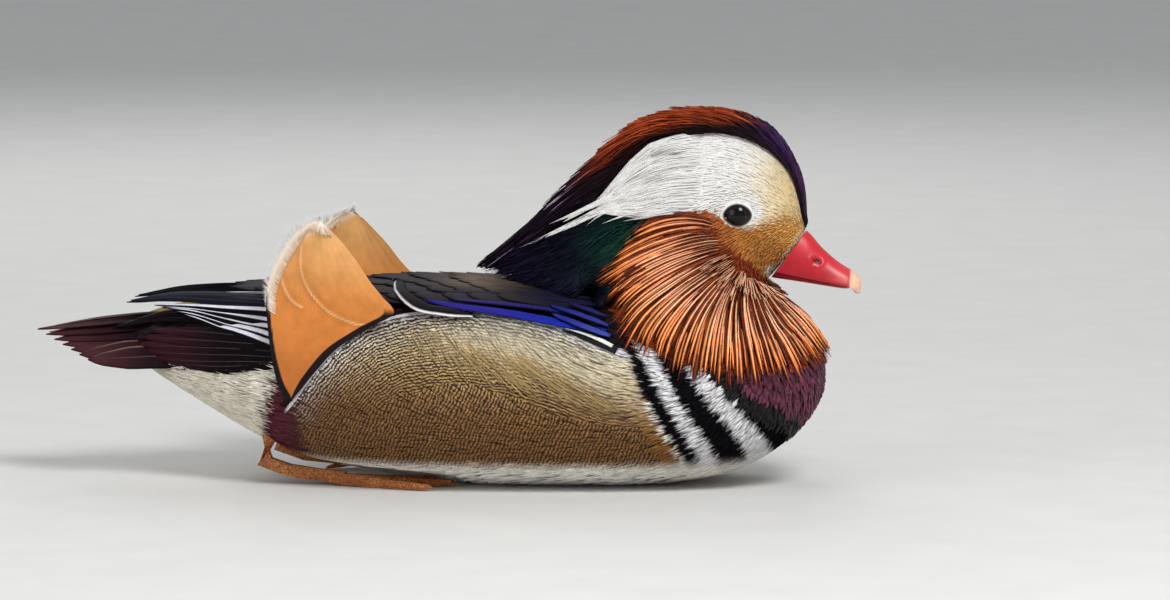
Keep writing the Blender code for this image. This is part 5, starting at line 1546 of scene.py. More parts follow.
# The long flight feathers, from the outermost and lowest to the innermost on top: places in the
# side view, half width in view units, colour, colour of the outer edge and where it begins
FLIGHT = (
    (((300, 352), (262, 338), (215, 322), (160, 318), (111, 327)), 5.0,
     (22, 14, 19), (196, 176, 116), 0.92),
    (((300, 347), (262, 332), (215, 317), (168, 313), (126, 323)), 5.0,
     (20, 13, 17), (196, 176, 116), 0.92),
    (((306, 359), (274, 347), (224, 328.5), (200, 319), (184, 314)), 5.4,
     (10, 9, 13), (232, 230, 242), 0.02),
    (((306, 351), (274, 340), (224, 323.5), (196, 315), (176, 311)), 5.4,
     (10, 9, 13), (232, 230, 242), 0.02),
    (((306, 340), (274, 331), (224, 318.5), (192, 311), (168, 308)), 5.4,
     (10, 9, 13), (232, 230, 242), 0.02),
    (((306, 328), (274, 322), (224, 313.5), (190, 309), (162, 307)), 5.2,
     (10, 9, 13), (232, 230, 242), 0.02),
    (((306, 316), (274, 312), (224, 308.5), (190, 306), (154, 305)), 4.8,
     (10, 9, 13), (232, 230, 242), 0.02),
    (((310, 311), (270, 304), (215, 300), (165, 298), (126, 302)), 5.6,
     (20, 23, 34), (34, 38, 52), 0.8),
    (((310, 305), (262, 299), (205, 295), (160, 296), (130, 300)), 5.2,
     (22, 27, 40), (36, 42, 56), 0.8),
    (((310, 300), (255, 296), (200, 293), (165, 294), (140, 298)), 4.8,
     (20, 24, 36), (34, 40, 54), 0.8),
)
FLIGHT_OUT = (0.80, 0.78, 1.02, 1.00, 0.98, 0.96, 0.94, 0.86, 0.78, 0.70)
FLIGHT_LEAN = (-1.5, -1.4, -3.4, -3.2, -3.0, -2.8, -2.4, -1.0, -0.8, -0.6)
FLIGHT_ACROSS = ((111, 150, 210, 280, 310), (0.0115, 0.0165, 0.0270, 0.0400, 0.0470))


def flight(side):
    """The primaries, stacked like tiles where they cross over the rump."""
    steps = 24
    share = np.linspace(0, 1, steps)
    width = np.interp(share, [0, 0.3, 0.65, 0.9, 1], [1.0, 0.95, 0.66, 0.38, 0.06])
    dark_width = np.interp(share, [0, 0.3, 0.75, 0.93, 1], [0.9, 1, 0.85, 0.5, 0.08])
    paths, half = [], []
    for k, (places, wide, _, edge, _) in enumerate(FLIGHT):
        line = curve(places, steps)
        y = -np.interp(line[:, 0], *FLIGHT_ACROSS) * FLIGHT_OUT[k]
        paths.append(place(line[:, 0], line[:, 1], y))
        half.append(wide / PER_METRE * (width if edge[0] > 220 else dark_width))
    paths, _ = above(np.array(paths), SKIN_TREE, 0.0022)
    lean = np.array(FLIGHT_LEAN)[:, None] * np.linspace(1.1, 0.85, steps)
    facing = np.stack([0 * lean, lean, 1 + 0 * lean], -1)

    def colours(points, share, over):
        out = np.zeros_like(points)
        for k, (_, _, base, edge, begins) in enumerate(FLIGHT):
            near = -over[k]
            band = step(begins, begins + 0.12, near) * (share[k] > 0.05)
            if edge[0] > 220:
                band = band * (1 - step(0.93, 0.99, share[k]))
            out[k] = blend(base, edge, band)
        return out

    section = ((-1.0, -0.5), (-0.8, -0.1), (-0.5, 0.2), (-0.2, 0.42), (0.0, 0.5), (0.08, 0.5),
               (0.2, 0.46), (0.5, 0.3), (0.8, -0.1), (1.0, -0.5))
    feathers("primaries", side, "wing", paths, facing, half, 0.0004, colours, FLIGHT_MATERIAL,
             section)


TAIL_PAIRS = 7
TAIL_MIDDLE = ((-0.100, 0.0020, 0.0655), (-0.126, 0.0025, 0.0654), (-0.150, 0.0028, 0.0630),
               (-0.1745, 0.0012, 0.0592))
TAIL_OUTER = ((-0.100, 0.0150, 0.0530), (-0.124, 0.0200, 0.0525), (-0.140, 0.0220, 0.0518),
              (-0.1500, 0.0210, 0.0512))


def tail(side):
    """Half of the fan of tail feathers, roof-shaped, the middle pair on top."""
    steps = 16
    share = np.linspace(0, 1, steps)
    width = 0.0062 * np.interp(share, [0, 0.3, 0.65, 0.9, 1], [0.7, 1, 0.95, 0.5, 0.05])
    paths, facing = [], []
    for k in range(TAIL_PAIRS):
        t = (TAIL_PAIRS - 1 - k) / (TAIL_PAIRS - 1)
        points = [np.array(a) * (1 - t) + np.array(b) * t for a, b in zip(TAIL_MIDDLE, TAIL_OUTER)]
        line = curve(points, steps) * (1, -1, 1)
        paths.append(line + np.array([0, 0, 0.0004 * k]))
        facing.append(np.broadcast_to([0, -0.25 - 0.95 * t, 1.0], line.shape))

    def colours(points, share, over):
        base = blend((26, 12, 19), (74, 40, 44), step(0.4, 1.0, share))
        edge = step(0.80, 0.97, -over) * step(0.35, 0.6, share)
        base = blend(base, (190, 154, 132), edge * 0.8)
        return blend(base, (24, 12, 18), step(0.5, 1, over) * 0.5)

    obj = feathers("tail_feathers", side, "tail", paths, facing, width, 0.0004, colours,
                   FLIGHT_MATERIAL, BROAD)
    if side < 0:
        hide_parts("tail")
    rump(side)


SAIL_ROWS = (
    (-0.0620, 0.0375, -0.0575, 0.0410),
    (-0.0660, 0.0460, -0.0510, 0.0490),
    (-0.0685, 0.0570, -0.0410, 0.0600),
    (-0.0700, 0.0680, -0.0275, 0.0690),
    (-0.0710, 0.0780, -0.0165, 0.0760),
    (-0.0705, 0.0850, -0.0215, 0.0825),
    (-0.0675, 0.0930, -0.0265, 0.0885),
    (-0.0630, 0.1010, -0.0320, 0.0965),
    (-0.0570, 0.1085, -0.0380, 0.1040),
    (-0.0500, 0.1130, -0.0435, 0.1100),
)
SAIL_FREE_Z, SAIL_THICK = 0.0700, 0.0006
SAIL_RISE, SAIL_LEAN = (1.0, 0.88), (0.0, 0.03)
SAIL_TOP_EDGE = ((262, 308), (268, 296), (280, 262), (300, 238), (325, 222), (338, 216))
SAIL_RACHIS = (((306, 246), (305, 263), (308, 278), (319, 297), (336, 312), (358, 321), (376, 324)),
               ((285, 262), (285, 274), (289, 289), (297, 301), (307, 307)))


def sail(side):
    """The broad orange feather that stands up over the rump, with its dark rear edge."""
    word = WORD[side]
    solid = tree_of(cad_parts[f"sail_{word}"])
    rows, columns = 110, 72
    table = np.array(SAIL_ROWS)
    at_row = np.linspace(0, 1, rows)
    knots = np.linspace(0, 1, len(table))
    rear_x, rear_z, front_x, front_z = (
        smooth(knots, table[:, k], at_row)[:, None] for k in range(4))
    share = np.linspace(0, 1, columns)[None]
    flat_x = rear_x * (1 - share) + front_x * share
    flat_z = rear_z * (1 - share) + front_z * share
    left = int(side > 0)
    free = np.maximum(0.0, flat_z - SAIL_FREE_Z)
    z = np.minimum(flat_z, SAIL_FREE_Z) + free * SAIL_RISE[left]
    x = flat_x + SAIL_LEAN[left] * free * SAIL_RISE[left]
    y = np.zeros_like(x)
    middle = np.array([x.mean(), 0, z.mean()])
    for i, j in np.ndindex(x.shape):
        inward = np.array([x[i, j], 0, z[i, j]])
        inward = inward + (middle - inward) * 0.035
        spot, *_ = solid.ray_cast(Vector((inward[0], side * 0.2, inward[2])), Vector((0, -side, 0)))
        y[i, j] = abs(spot[1]) if spot else np.nan
    for i in range(rows):
        known = np.flatnonzero(~np.isnan(y[i]))
        y[i] = np.interp(np.arange(columns), known, y[i][known]) if len(known) else y[i - 1]
    for _ in range(24):
        y = relaxed(y)
    high = np.broadcast_to(at_row[:, None], x.shape)
    uv = side_view(np.stack([flat_x, -np.full_like(x, 0.046), flat_z], -1))
    ripple = 0.00005 * np.sin(share * 60 + 9 * at_row[:, None]) * (free > 0)
    rachis = [curve(line, 30) for line in SAIL_RACHIS]
    ridge = sum(np.exp(-(distance(line, uv) / 1.3) ** 2) for line in rachis) * 0.0004
    outer = np.stack([x, side * (y + ripple + ridge), z], -1)
    inner = outer - np.array([0, side * SAIL_THICK, 0]) - np.stack([0 * x, side * ridge, 0 * x], -1)
    points = np.concatenate([outer.reshape(-1, 3), inner.reshape(-1, 3)])
    count = rows * columns
    sheet = grid_faces(rows, columns, False)
    index = np.arange(count).reshape(rows, columns)
    rim = np.concatenate([index[0], index[1:, -1], index[-1, -2::-1], index[-2:0:-1, 0]])
    ring = np.roll(rim, -1)
    edge = np.stack([rim, rim + count, ring + count, ring], 1)
    width = np.linalg.norm(uv[:, -1:] - uv[:, :1], axis=-1)
    rear = np.broadcast_to(share, x.shape) * width
    # Paler towards the top, the vane's own colour; darker at the foot, painted shade where the sail
    # rises from the body.
    colour = blend((222, 138, 66), (236, 178, 112), step(0.4, 1.0, high))
    colour = blend(colour, (190, 106, 46), (1 - step(0.05, 0.5, high)) * 0.75)
    for line in rachis:
        away = distance(line, uv)
        colour = blend(colour, (255, 214, 156), (1 - step(0.4, 1.3, away)) * 0.9)
        # Painted shade: a darker orange beside each rachis, where the vane folds.
        colour = blend(colour, (176, 92, 34), (1 - step(1.0, 10.0, away)) * 0.25)
    top_edge = distance(SAIL_TOP_EDGE, uv)
    colour = blend(colour, (250, 232, 206), (1 - step(1.0, 8, top_edge)) * 0.8)
    wide = np.interp(high, (0, 0.2, 0.5), (7.0, 5.5, 3.0))
    dark = (1 - step(0.85, 1.05, rear / wide)) * (1 - step(0.50, 0.54, high))
    colour = blend(colour, BLACK, dark)
    band = np.interp(high, (0, 0.1, 0.25, 0.42), (7.5, 10.0, 12.0, 10.0))
    front = (1 - step(-0.8, 0.8, width - rear - band)) * (1 - step(0.42, 0.48, high))
    colour = blend(colour, (26, 12, 19), front)
    colours = np.concatenate([colour.reshape(-1, 3)] * 2)
    grain = (90 * share + 26 * np.sin(2.2 * at_row[:, None] + 0.6)).ravel()
    values = {"tint": colours, "grain": np.tile(grain, 2), "along": np.tile(high.ravel(), 2),
              "across": np.tile(np.broadcast_to(share, x.shape).ravel(), 2)}
    obj = mesh_object(f"sail_vane_{word}", points, [sheet, sheet[:, ::-1] + count, edge],
                      SAIL_MATERIAL.mat, values)
    patch = root_patches(outer[2, columns // 2][None])[0]
    local = np.stack([np.broadcast_to(share, x.shape), high], -1).reshape(-1, 2) * 2 * TUFT_PATCH
    bake_map(obj, np.tile(patch + local, (2, 1)))
    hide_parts(f"sail_{word}")
    sail_fringe(side, outer * (1, -side, 1))


def sail_fringe(side, outer):
    """Loose white barbs along the top and the rear of the sail."""
    rng = draws(side, 19)
    rows, columns = outer.shape[:2]
    n, steps = 560, 7
    share = np.linspace(0, 1, steps)
    row = np.clip(rng.uniform(0.42, 1.08, n), 0, 1)
    i = (row * (rows - 1)).astype(int)
    j = np.where(row > 0.985, (rng.uniform(0, 0.9, n) * (columns - 1)).astype(int), 1)
    root = outer[i, j]
    across = unit(outer[i, 0] - outer[i, 20])
    upward = unit(outer[np.minimum(i + 1, rows - 1), j] - outer[np.maximum(i - 5, 0), j])
    top = step(0.8, 1.0, row)[:, None]
    way = unit(across * (1 - 0.5 * top) + upward * (0.55 + 0.35 * top)
               + rng.normal(0, 0.09, (n, 3)))
    length = np.interp(row, (0.42, 0.6, 0.9, 1), (0.0012, 0.0034, 0.0046, 0.0036))
    length = length * rng.uniform(0.5, 1.3, n)
    start = root - way * 0.004
    paths = start[:, None] + way[:, None] * ((length + 0.004)[:, None] * share)[..., None]
    paths = paths + upward[:, None] * (0.0010 * share**2)[:, None]
    facing = np.broadcast_to([0.0, -1.0, 0.1], paths.shape)
    half = 0.00015 * np.interp(share, [0, 0.4, 1], [1, 0.8, 0.08])[None] * np.ones((n, 1))
    tone = rng.uniform(0, 1, n)

    def colours(points, share, over):
        return blend((244, 206, 158), (252, 248, 244), np.minimum(
            1, tone[:, None, None] * 0.5 + share))

    feathers("sail_fringe", side, "sail", paths, facing, half, 0.00015, colours, SILK_MATERIAL)


def joined_tree(names):
    points, faces = [], []
    for name in names:
        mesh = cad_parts[name].data
        base = len(points)
        points += [v.co.copy() for v in mesh.vertices]
        faces += [tuple(base + k for k in p.vertices) for p in mesh.polygons]
    return BVHTree.FromPolygons(points, faces)


def over_body(uv, lift):
    """Places that show at uv in the side view at a height over the skin, and the normals there."""
    lift = np.broadcast_to(lift, len(uv))[:, None]
    seen = uv.copy()
    for _ in range(3):
        spots = np.array([at(SKIN_TREE, u, v) for u, v in seen])
        _, normals = nearest(spots)
        spots = spots + normals * lift
        seen = seen + 0.8 * (uv - side_view(spots))
    return spots, normals


def nape_lanes(rng, steps):
    """Plumes that flow back in lanes over the side of the nape, from the ruff to its ends."""
    n = 1300
    lanes = np.array([curve(line, 40) for line in NAPE_LINES])
    lane = rng.uniform(0, 1, n) * (len(lanes) - 1.001)
    begin = rng.uniform(-0.02, 0.66, n)
    end = np.minimum(begin + rng.uniform(0.26, 0.46, n), rng.uniform(0.92, 1.0, n))
    share = np.clip(begin[:, None] + (end - begin)[:, None] * np.linspace(0, 1, steps), 0, 1)
    i, p = lane.astype(int), (lane - lane.astype(int))[:, None, None]
    uv = np.zeros((n, steps, 2))
    for k in range(n):
        pair = lanes[i[k]] * (1 - p[k]) + lanes[i[k] + 1] * p[k]
        uv[k] = along_line(pair, share[k] * 39)
    uv = uv + rng.normal(0, 0.9, (n, 1, 2)) * np.linspace(0, 1, steps)[:, None]
    y = np.minimum(-NAPE_SHEET(uv), -0.0020)
    for _ in range(6):
        y[:, 1:-1] = (y[:, :-2] + 2 * y[:, 1:-1] + y[:, 2:]) / 4
        y[:, 0], y[:, -1] = (y[:, 0] + y[:, 1]) / 2, (y[:, -1] + y[:, -2]) / 2
    paths = place(uv[..., 0], uv[..., 1], y)
    lift = rng.uniform(0.0000, 0.0009, (n, 1)) * profile([0, 0.2, 1], [-1, 0.5, 1], steps)
    paths = paths + (lift - 0.0006)[..., None] * BACK
    return paths, np.broadcast_to(np.array([0.1, -1.0, 0.45]), paths.shape)


RUMP_VANES = (
    ((296, 340), (250, 336), (205, 332), (150, 330)),
    ((296, 347), (250, 343), (200, 340), (140, 337)),
    ((296, 353), (250, 349), (198, 347), (132, 344)),
    ((294, 358), (250, 355), (200, 354), (136, 351)),
    ((290, 362), (250, 361), (206, 361), (150, 358)),
    ((284, 362), (256, 364), (222, 366), (176, 363)),
)
# Three more over the middle: where they start, how far across they lie, and how long they are
RUMP_MIDDLE = ((-0.062, 0.004, 0.062), (-0.066, 0.011, 0.058), (-0.070, 0.018, 0.052))


def rump(side):
    """Smooth dark maroon coverts between the rump and the tail."""
    steps = 14
    share = np.linspace(0, 1, steps)
    width = np.interp(share, [0, 0.25, 0.7, 0.92, 1], [0.7, 1, 0.9, 0.5, 0.08])
    paths, facing, half = [], [], []
    for x0, across, reach in RUMP_MIDDLE:
        x = x0 - reach * share
        turn = torso_angle(x, across * (1 - 0.5 * share))
        high = 0.0012 + 0.0010 * share
        spots = on_torso(x, turn, high)
        facing.append((spots - on_torso(x, turn, high - 0.001)) * (1000, -1000, 1000))
        paths.append(spots * (1, -1, 1))
        half.append(0.0052 * width)
    for k, line in enumerate(RUMP_VANES[::-1]):
        spots, normals = over_body(curve(line, steps), 0.0008 + 0.0007 * share + 0.0001 * k)
        paths.append(spots)
        facing.append(normals)
        half.append(0.0030 * width)

    def colours(points, share, over):
        u = side_view(points)[..., 0]
        base = blend((58, 24, 34), (12, 8, 11), step(150, 232, u))
        return blend(base, (20, 10, 14), step(0.6, 1.0, np.abs(over)) * 0.5)

    feathers("rump_coverts", side, "tail", paths, facing, half, 0.0004, colours, FLIGHT_MATERIAL,
             BROAD)


BORDER = ((286, 410), (293, 402), (303, 388), (318, 368), (340, 345), (367, 326), (398, 315),
          (432, 310), (470, 309), (500, 312))


def flank_border(side):
    """The maroon-black and the white band that edge the flank towards the sail and the wing."""
    rng = draws(side, 29)
    n, steps = 500, 7
    line = curve(BORDER, 120)
    way = unit(np.gradient(line, axis=0))
    out = np.stack([way[:, 1], -way[:, 0]], -1)
    share = np.linspace(0, 1, steps)
    white = rng.uniform(0, 1, n) < 0.40
    begin = rng.uniform(-2, 112, n)
    long = rng.uniform(10, 18, n)
    at_line = np.clip(begin[:, None] + long[:, None] * (1 - share), 0, 119)
    wide = np.interp(begin, (0, 60, 90, 118), (7.5, 7.0, 4.0, 2.5))
    off = np.where(white, rng.uniform(-3.2, -0.4, n), rng.uniform(0, 1, n) * wide)
    spots_uv = along_line(line, at_line) + along_line(out, at_line) * off[:, None, None]
    paths, facing = [], []
    for k in range(n):
        lift = (0.0012 if white[k] else 0.0016) * rng.uniform(0.7, 1.1)
        spots, normals = over_body(spots_uv[k], lift * np.interp(share, [0, 0.3, 1], [0.3, 0.9, 1]))
        paths.append(spots)
        facing.append(normals)
    half = 0.00034 * np.interp(share, [0, 0.3, 0.7, 1], [0.6, 1, 0.8, 0.1])[None] * np.ones((n, 1))
    tone = rng.uniform(0, 1, n)

    def colours(points, share, over):
        dark = blend((18, 10, 14), (72, 20, 38), tone[:, None, None] ** 2)
        pale = linear((236, 232, 232)) * (0.85 + 0.15 * tone[:, None, None, None])
        return np.where(white[:, None, None, None], pale, dark) * np.ones_like(points)

    feathers("flank_border", side, "flank", paths, facing, half, 0.0002, colours, SILK_MATERIAL)


GOLD_FAN = (
    ((399, 323), (404, 334), (410, 346), (414, 358)),
    ((423, 321), (431, 334), (438, 347), (446, 362)),
    ((452, 335), (467, 352), (482, 367), (497, 388)),
    ((474, 338), (496, 360), (522, 379), (548, 401)),
    ((492, 338), (526, 368), (559, 390), (585, 409)),
    ((518, 349), (556, 379), (585, 397), (623, 416)),
    ((541, 349), (570, 371), (600, 394), (626, 409)),
)


# The pointed white plumes behind the brow: places, half width in view units, strands
PLUMES = (
    (((672, 176), (640, 185), (608, 199), (580, 211.5), (549, 224.5)), 4.4, 80),
    (((672, 200), (638, 203), (606, 209), (575, 223.5), (548, 235.5), (521, 247.5)), 4.6, 100),
    (((668, 208), (645, 207), (622, 208.5), (602, 214.5), (585, 227)), 1.6, 16),
    (((672, 211), (648, 212), (625, 216), (601, 224.5)), 1.8, 18),
    (((680, 213), (655, 215.5), (638, 219), (622, 222)), 1.8, 16),
)
NAPE_LINES = (
    ((655, 206), (625, 208), (598, 212), (560, 228), (520, 247), (478, 262)),
    ((650, 219), (622, 224), (590, 235), (550, 251), (512, 265), (484, 273)),
    ((634, 237), (612, 245), (588, 255), (558, 270), (530, 281), (508, 286)),
    ((620, 256), (602, 264), (584, 274), (566, 286), (548, 294), (530, 296)),
    ((610, 270), (600, 280), (592, 288), (584, 295), (576, 300), (568, 304)),
    ((612, 284), (608, 293), (605, 299), (602, 304), (599, 309), (596, 312)),
)


def side_sheet(tree, u_range, v_range, passes):
    """How far out a surface lies, smoothed over the side view, as a function of the place."""
    us, vs = np.arange(*u_range, 5.0), np.arange(*v_range, 5.0)
    out = np.array([[abs(at(tree, u, v)[1]) for v in vs] for u in us])
    for _ in range(passes):
        out = relaxed(out)

    def at_place(uv):
        a = np.clip((uv[..., 0] - us[0]) / 5, 0, len(us) - 1.001)
        b = np.clip((uv[..., 1] - vs[0]) / 5, 0, len(vs) - 1.001)
        i, j = a.astype(int), b.astype(int)
        return between(out, i, j, a - i, b - j)

    return at_place


def gold_strands(side):
    """Long golden feather edges that fan over the flank."""
    rng = draws(side, 23)
    n, steps = 230, 12
    share = np.linspace(0, 1, steps)
    lines = np.array(GOLD_FAN, float)
    pick = rng.uniform(0, len(lines) - 1, n)
    low = np.minimum(pick.astype(int), len(lines) - 2)
    part = (pick - low)[:, None, None]
    fan = lines[low] * (1 - part) + lines[low + 1] * part
    begin = rng.uniform(0, 0.7, n)
    end = np.minimum(begin + rng.uniform(0.25, 0.6, n), 1.05)
    paths, facing = [], []
    for k in range(n):
        whole = curve(fan[k] + rng.normal(0, 1.4, 2), 40)
        at_share = (begin[k] + (end[k] - begin[k]) * share) * 39
        uv = along_line(whole, at_share)
        lift = rng.uniform(0.0008, 0.0014) * np.interp(share, [0, 0.2, 1], [0.3, 1, 1])
        spots, normals = over_body(uv, lift)
        paths.append(spots)
        facing.append(normals)
    half = 0.00017 * np.interp(share, [0, 0.3, 1], [0.4, 1, 0.1])[None]
    half = half * rng.uniform(0.7, 1.2, (n, 1))
    tone = rng.uniform(0.62, 1.05, n)

    def colours(points, share, over):
        return linear(GOLD) * tone[:, None, None, None] * np.ones_like(points)

    feathers("gold_strands", side, "flank", paths, facing, half, 0.00016, colours, SILK_MATERIAL)


# Bill, eyes and legs

def bill_axis():
    """Start, direction, up and length of the bill, along the line of the mouth."""
    start = np.array([BILL_GAPE[0] + 0.0010, 0, BILL_GAPE[1] - 0.0012])
    tip = np.array([BILL_TIP[0] - 0.0010, 0, BILL_TIP[1] - 0.0022])
    way = tip - start
    length = float(np.linalg.norm(way))
    way /= length
    return start, way, np.array([-way[2], 0, way[0]]), length


def bill_part(name, stations, lift, upper):
    """One half of the bill, finely lofted, with its nostrils pressed in."""
    start, way, up, length = bill_axis()
    rows, columns = 110, 80
    table = np.array(stations)
    share = table[0, 0] + (table[-1, 0] - table[0, 0]) * np.linspace(0, 1, rows) ** 0.8
    top, low, half = (smooth(table[:, 0], table[:, k], share)[:, None] for k in (1, 2, 3))
    turn = 2 * np.pi * np.arange(columns) / columns
    c, s = np.cos(turn)[None], np.sin(turn)[None]
    z = np.where(s > 0, top * np.abs(s) ** BILL_PEAK, -low * np.abs(s) ** BILL_FULL)
    y = half * np.sign(c) * np.abs(c) ** BILL_FULL
    if upper:
        at_share, height, long, tall = NOSTRIL
        away = np.hypot((share[:, None] - at_share) * length / long, (z - height) / tall)
        y = y - np.sign(y) * 0.0011 * (1 - step(0.55, 1.15, away)) + np.sign(y) * 0.00022 * np.exp(
            -((away - 1.35) / 0.35) ** 2)
        lip = np.exp(-((z - 0.0010) / 0.0011) ** 2)
        y = y + np.sign(y) * 0.00020 * lip * (share[:, None] > 0.02)
    middle = start + way * (share[:, None] * length) + up * lift
    rings = middle[:, None] + y[..., None] * np.array([0, 1, 0]) + z[..., None] * up
    share_all = np.broadcast_to(share[:, None], z.shape)
    rel = np.clip(z / np.maximum(top, 1e-4), -1, 1) if upper else z * 0
    # Painted light and shade: the sides darker low down and lighter towards the top.
    colour = blend((168, 14, 30), (206, 36, 48), step(0.05, 0.8, rel))
    colour = blend(colour, (220, 84, 84), step(0.5, 0.85, share_all) * 0.4)
    nail = step(0.855, 0.885, share_all + 0.03 * rel) if upper else step(0.83, 0.86, share_all)
    colour = blend(colour, (244, 196, 164), nail)
    if upper:
        # Painted shade: the nostril's hollow painted dark, and the lower edge along the mouth line
        # darker.
        colour = blend(colour, (66, 8, 18), 1 - step(0.5, 1.0, away))
        colour = blend(colour, (120, 14, 28), (1 - step(0.0002, 0.0012, z)) * 0.6 * (1 - nail))
    else:
        # Painted shade: the lower bill darker, beneath the upper one.
        colour = blend(colour, (140, 20, 34), 0.6 * (1 - nail))
    points, faces = capped(rings)
    obj = mesh_object(name, points, faces, BILL_MATERIAL.mat, {"tint": colour.reshape(-1, 3)})
    point, normal = bill_plane()
    made = bmesh.new()
    made.from_mesh(obj.data)
    cut = bmesh.ops.bisect_plane(made, geom=made.verts[:] + made.edges[:] + made.faces[:],
                                 plane_co=point + normal * 0.00015, plane_no=normal,
                                 clear_inner=True)
    rim = [part for part in cut["geom_cut"] if isinstance(part, bmesh.types.BMEdge)]
    bmesh.ops.contextual_create(made, geom=rim)
    made.to_mesh(obj.data)
    made.free()
    obj.data.shade_smooth()
    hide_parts(name.replace("horn_", "bill_"))


def eye_y():
    """How far out the head's side is at the eye."""
    angle = math.degrees(math.atan2(EYE_Z - PIVOT_Z, EYE_X - PIVOT_X))
    reach = math.hypot(EYE_Z - PIVOT_Z, EYE_X - PIVOT_X)
    psi = np.linspace(0.05, math.pi - 0.05, 200)
    points = neck_skin(angle, psi)
    r = np.hypot(points[:, 0] - PIVOT_X, points[:, 2] - PIVOT_Z)
    return float(points[np.argmin(np.abs(r - reach)), 1])


def eye(side):
    """A glossy dark eyeball with its brown iris, and the rim of its lids."""
    word = WORD[side]
    middle = np.array([EYE_X, side * (eye_y() - EYE_RADIUS + EYE_OUT), EYE_Z])
    rows, columns = 40, 64
    polar = np.linspace(0.02, math.pi - 0.02, rows)[:, None]
    turn = 2 * np.pi * np.arange(columns)[None] / columns
    ring = np.stack([np.sin(polar) * np.cos(turn), np.cos(polar) * side * np.ones_like(turn),
                     np.sin(polar) * np.sin(turn)], -1)
    points, faces = capped(middle + EYE_RADIUS * ring)
    off = np.broadcast_to(np.degrees(polar), (rows, columns))
    colour = blend((3, 3, 4), (30, 17, 14), step(29, 33, off) * (1 - step(50, 60, off)))
    colour = blend(colour, (10, 7, 7), step(50, 60, off))
    ball = mesh_object(f"eyeball_{word}", points, faces, EYE_MATERIAL.mat,
                       {"tint": colour.reshape(-1, 3)})
    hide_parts(f"eye_{word}")
    right = middle * (1, side * -1, 1)
    columns, rows = 72, 9
    turn = 2 * np.pi * np.arange(columns) / columns
    reach = np.array([0.90, 0.95, 1.0, 1.05, 1.12, 1.22, 1.34, 1.48, 1.62])
    rings = np.zeros((rows, columns, 3))
    centre = side_view(np.array([EYE_X, -eye_y(), EYE_Z]))
    for j, a in enumerate(turn):
        long = EYE_LONG * PER_METRE * math.cos(a)
        tall = EYE_TALL * PER_METRE * math.sin(a) * (1 - 0.16 * math.cos(a) ** 2)
        for i, r in enumerate(reach):
            u, v = centre[0] + long * r, centre[1] - tall * r
            spot = at(SKIN_TREE, u, v, 0.0002 if i < 6 else -0.0002)
            rise = [-0.0002, 0.00030, 0.00048, 0.00046, 0.00030, 0.0001, 0, -0.0002, -0.0004][i]
            from_eye = spot - right
            off = from_eye @ BACK
            flat = from_eye - BACK * off
            dome = math.sqrt(max(EYE_RADIUS**2 - flat @ flat, 0))
            least = dome + rise if flat @ flat < EYE_RADIUS**2 * 0.97 else off
            rings[i, j] = right + flat + BACK * max(off + max(rise, 0), least)
    below = rings - BACK * 0.0006
    points = np.concatenate([rings, below[::-1]])
    points, faces = points.reshape(-1, 3), [grid_faces(2 * rows, columns)]
    tone = np.array([0.0, 0.0, 0.0, 0.12, 0.75, 1, 1, 1, 1])[:, None] * np.ones(columns)
    colour = blend((22, 14, 14), WHITE, tone)
    colour = np.concatenate([colour, colour[::-1]])
    last = np.arange(columns) + (2 * rows - 1) * columns
    first = np.arange(columns)
    faces.append(np.stack([last, np.roll(last, -1), np.roll(first, -1), first], -1))
    if side > 0:
        points = points * (1, -1, 1)
    lid = mesh_object(f"lids_{word}", points, faces, LID_MATERIAL.mat,
                      {"tint": colour.reshape(-1, 3)})


# Materials and assembly

def painted(name, spread, scale, bump, distance, **sockets):
    """A hard or bare surface: the painted colour, varied by noise, with a fine relief."""
    made = Nodes(name, **sockets)
    broad = made.ramp(made.noise(scale, 4.0, 0.6), 0.3, 0.7, 1 - spread, 1 + spread)
    colour = made.scaled(made.attribute("tint", True), broad)
    made.join(colour, made.shader.inputs["Base Color"])
    made.bump(made.noise(scale * 6, 3.0, 0.6), bump, distance)
    return made


def leg_material():
    """Bare skin of the legs and webs, in small scales."""
    made = Nodes("leg_skin", Roughness=0.45, Specular_IOR_Level=0.5)
    where = made.add("ShaderNodeTexCoord").outputs["Object"]
    cells = made.add("ShaderNodeTexVoronoi", {"Vector": where, "Scale": 620.0},
                     feature="DISTANCE_TO_EDGE")
    gap = made.ramp(cells.outputs["Distance"], 0.02, 0.14)
    tone = made.ramp(made.noise(90.0, 3.0), 0.3, 0.7)
    base = made.mix(tone, grey((176, 98, 40)), grey((206, 132, 62)))
    made.join(made.mix(gap, grey((120, 66, 30)), base), made.shader.inputs["Base Color"])
    made.bump(gap, 0.5, 0.0002)
    return made


def sail_material():
    """The vane of the sail: fine parallel barbs along the phase that each point carries."""
    made = Nodes("sail_vane", Roughness=0.6, Specular_IOR_Level=0.15, Sheen_Weight=0.0)
    broad = made.ramp(made.noise(160.0, 3.0), 0.3, 0.7, 0.9, 1.1)
    wobble = made.maths("MULTIPLY_ADD", made.noise(300.0, 2.0), 0.8, made.attribute("grain"))
    wave = made.wave(wobble)
    value = made.maths("MULTIPLY", broad, made.ramp(wave, -1, 1, 0.87, 1.08))
    colour = made.scaled(made.attribute("tint", True), value)
    made.join(colour, made.shader.inputs["Base Color"])
    made.bump(wave, 0.3, 0.0002)
    return made


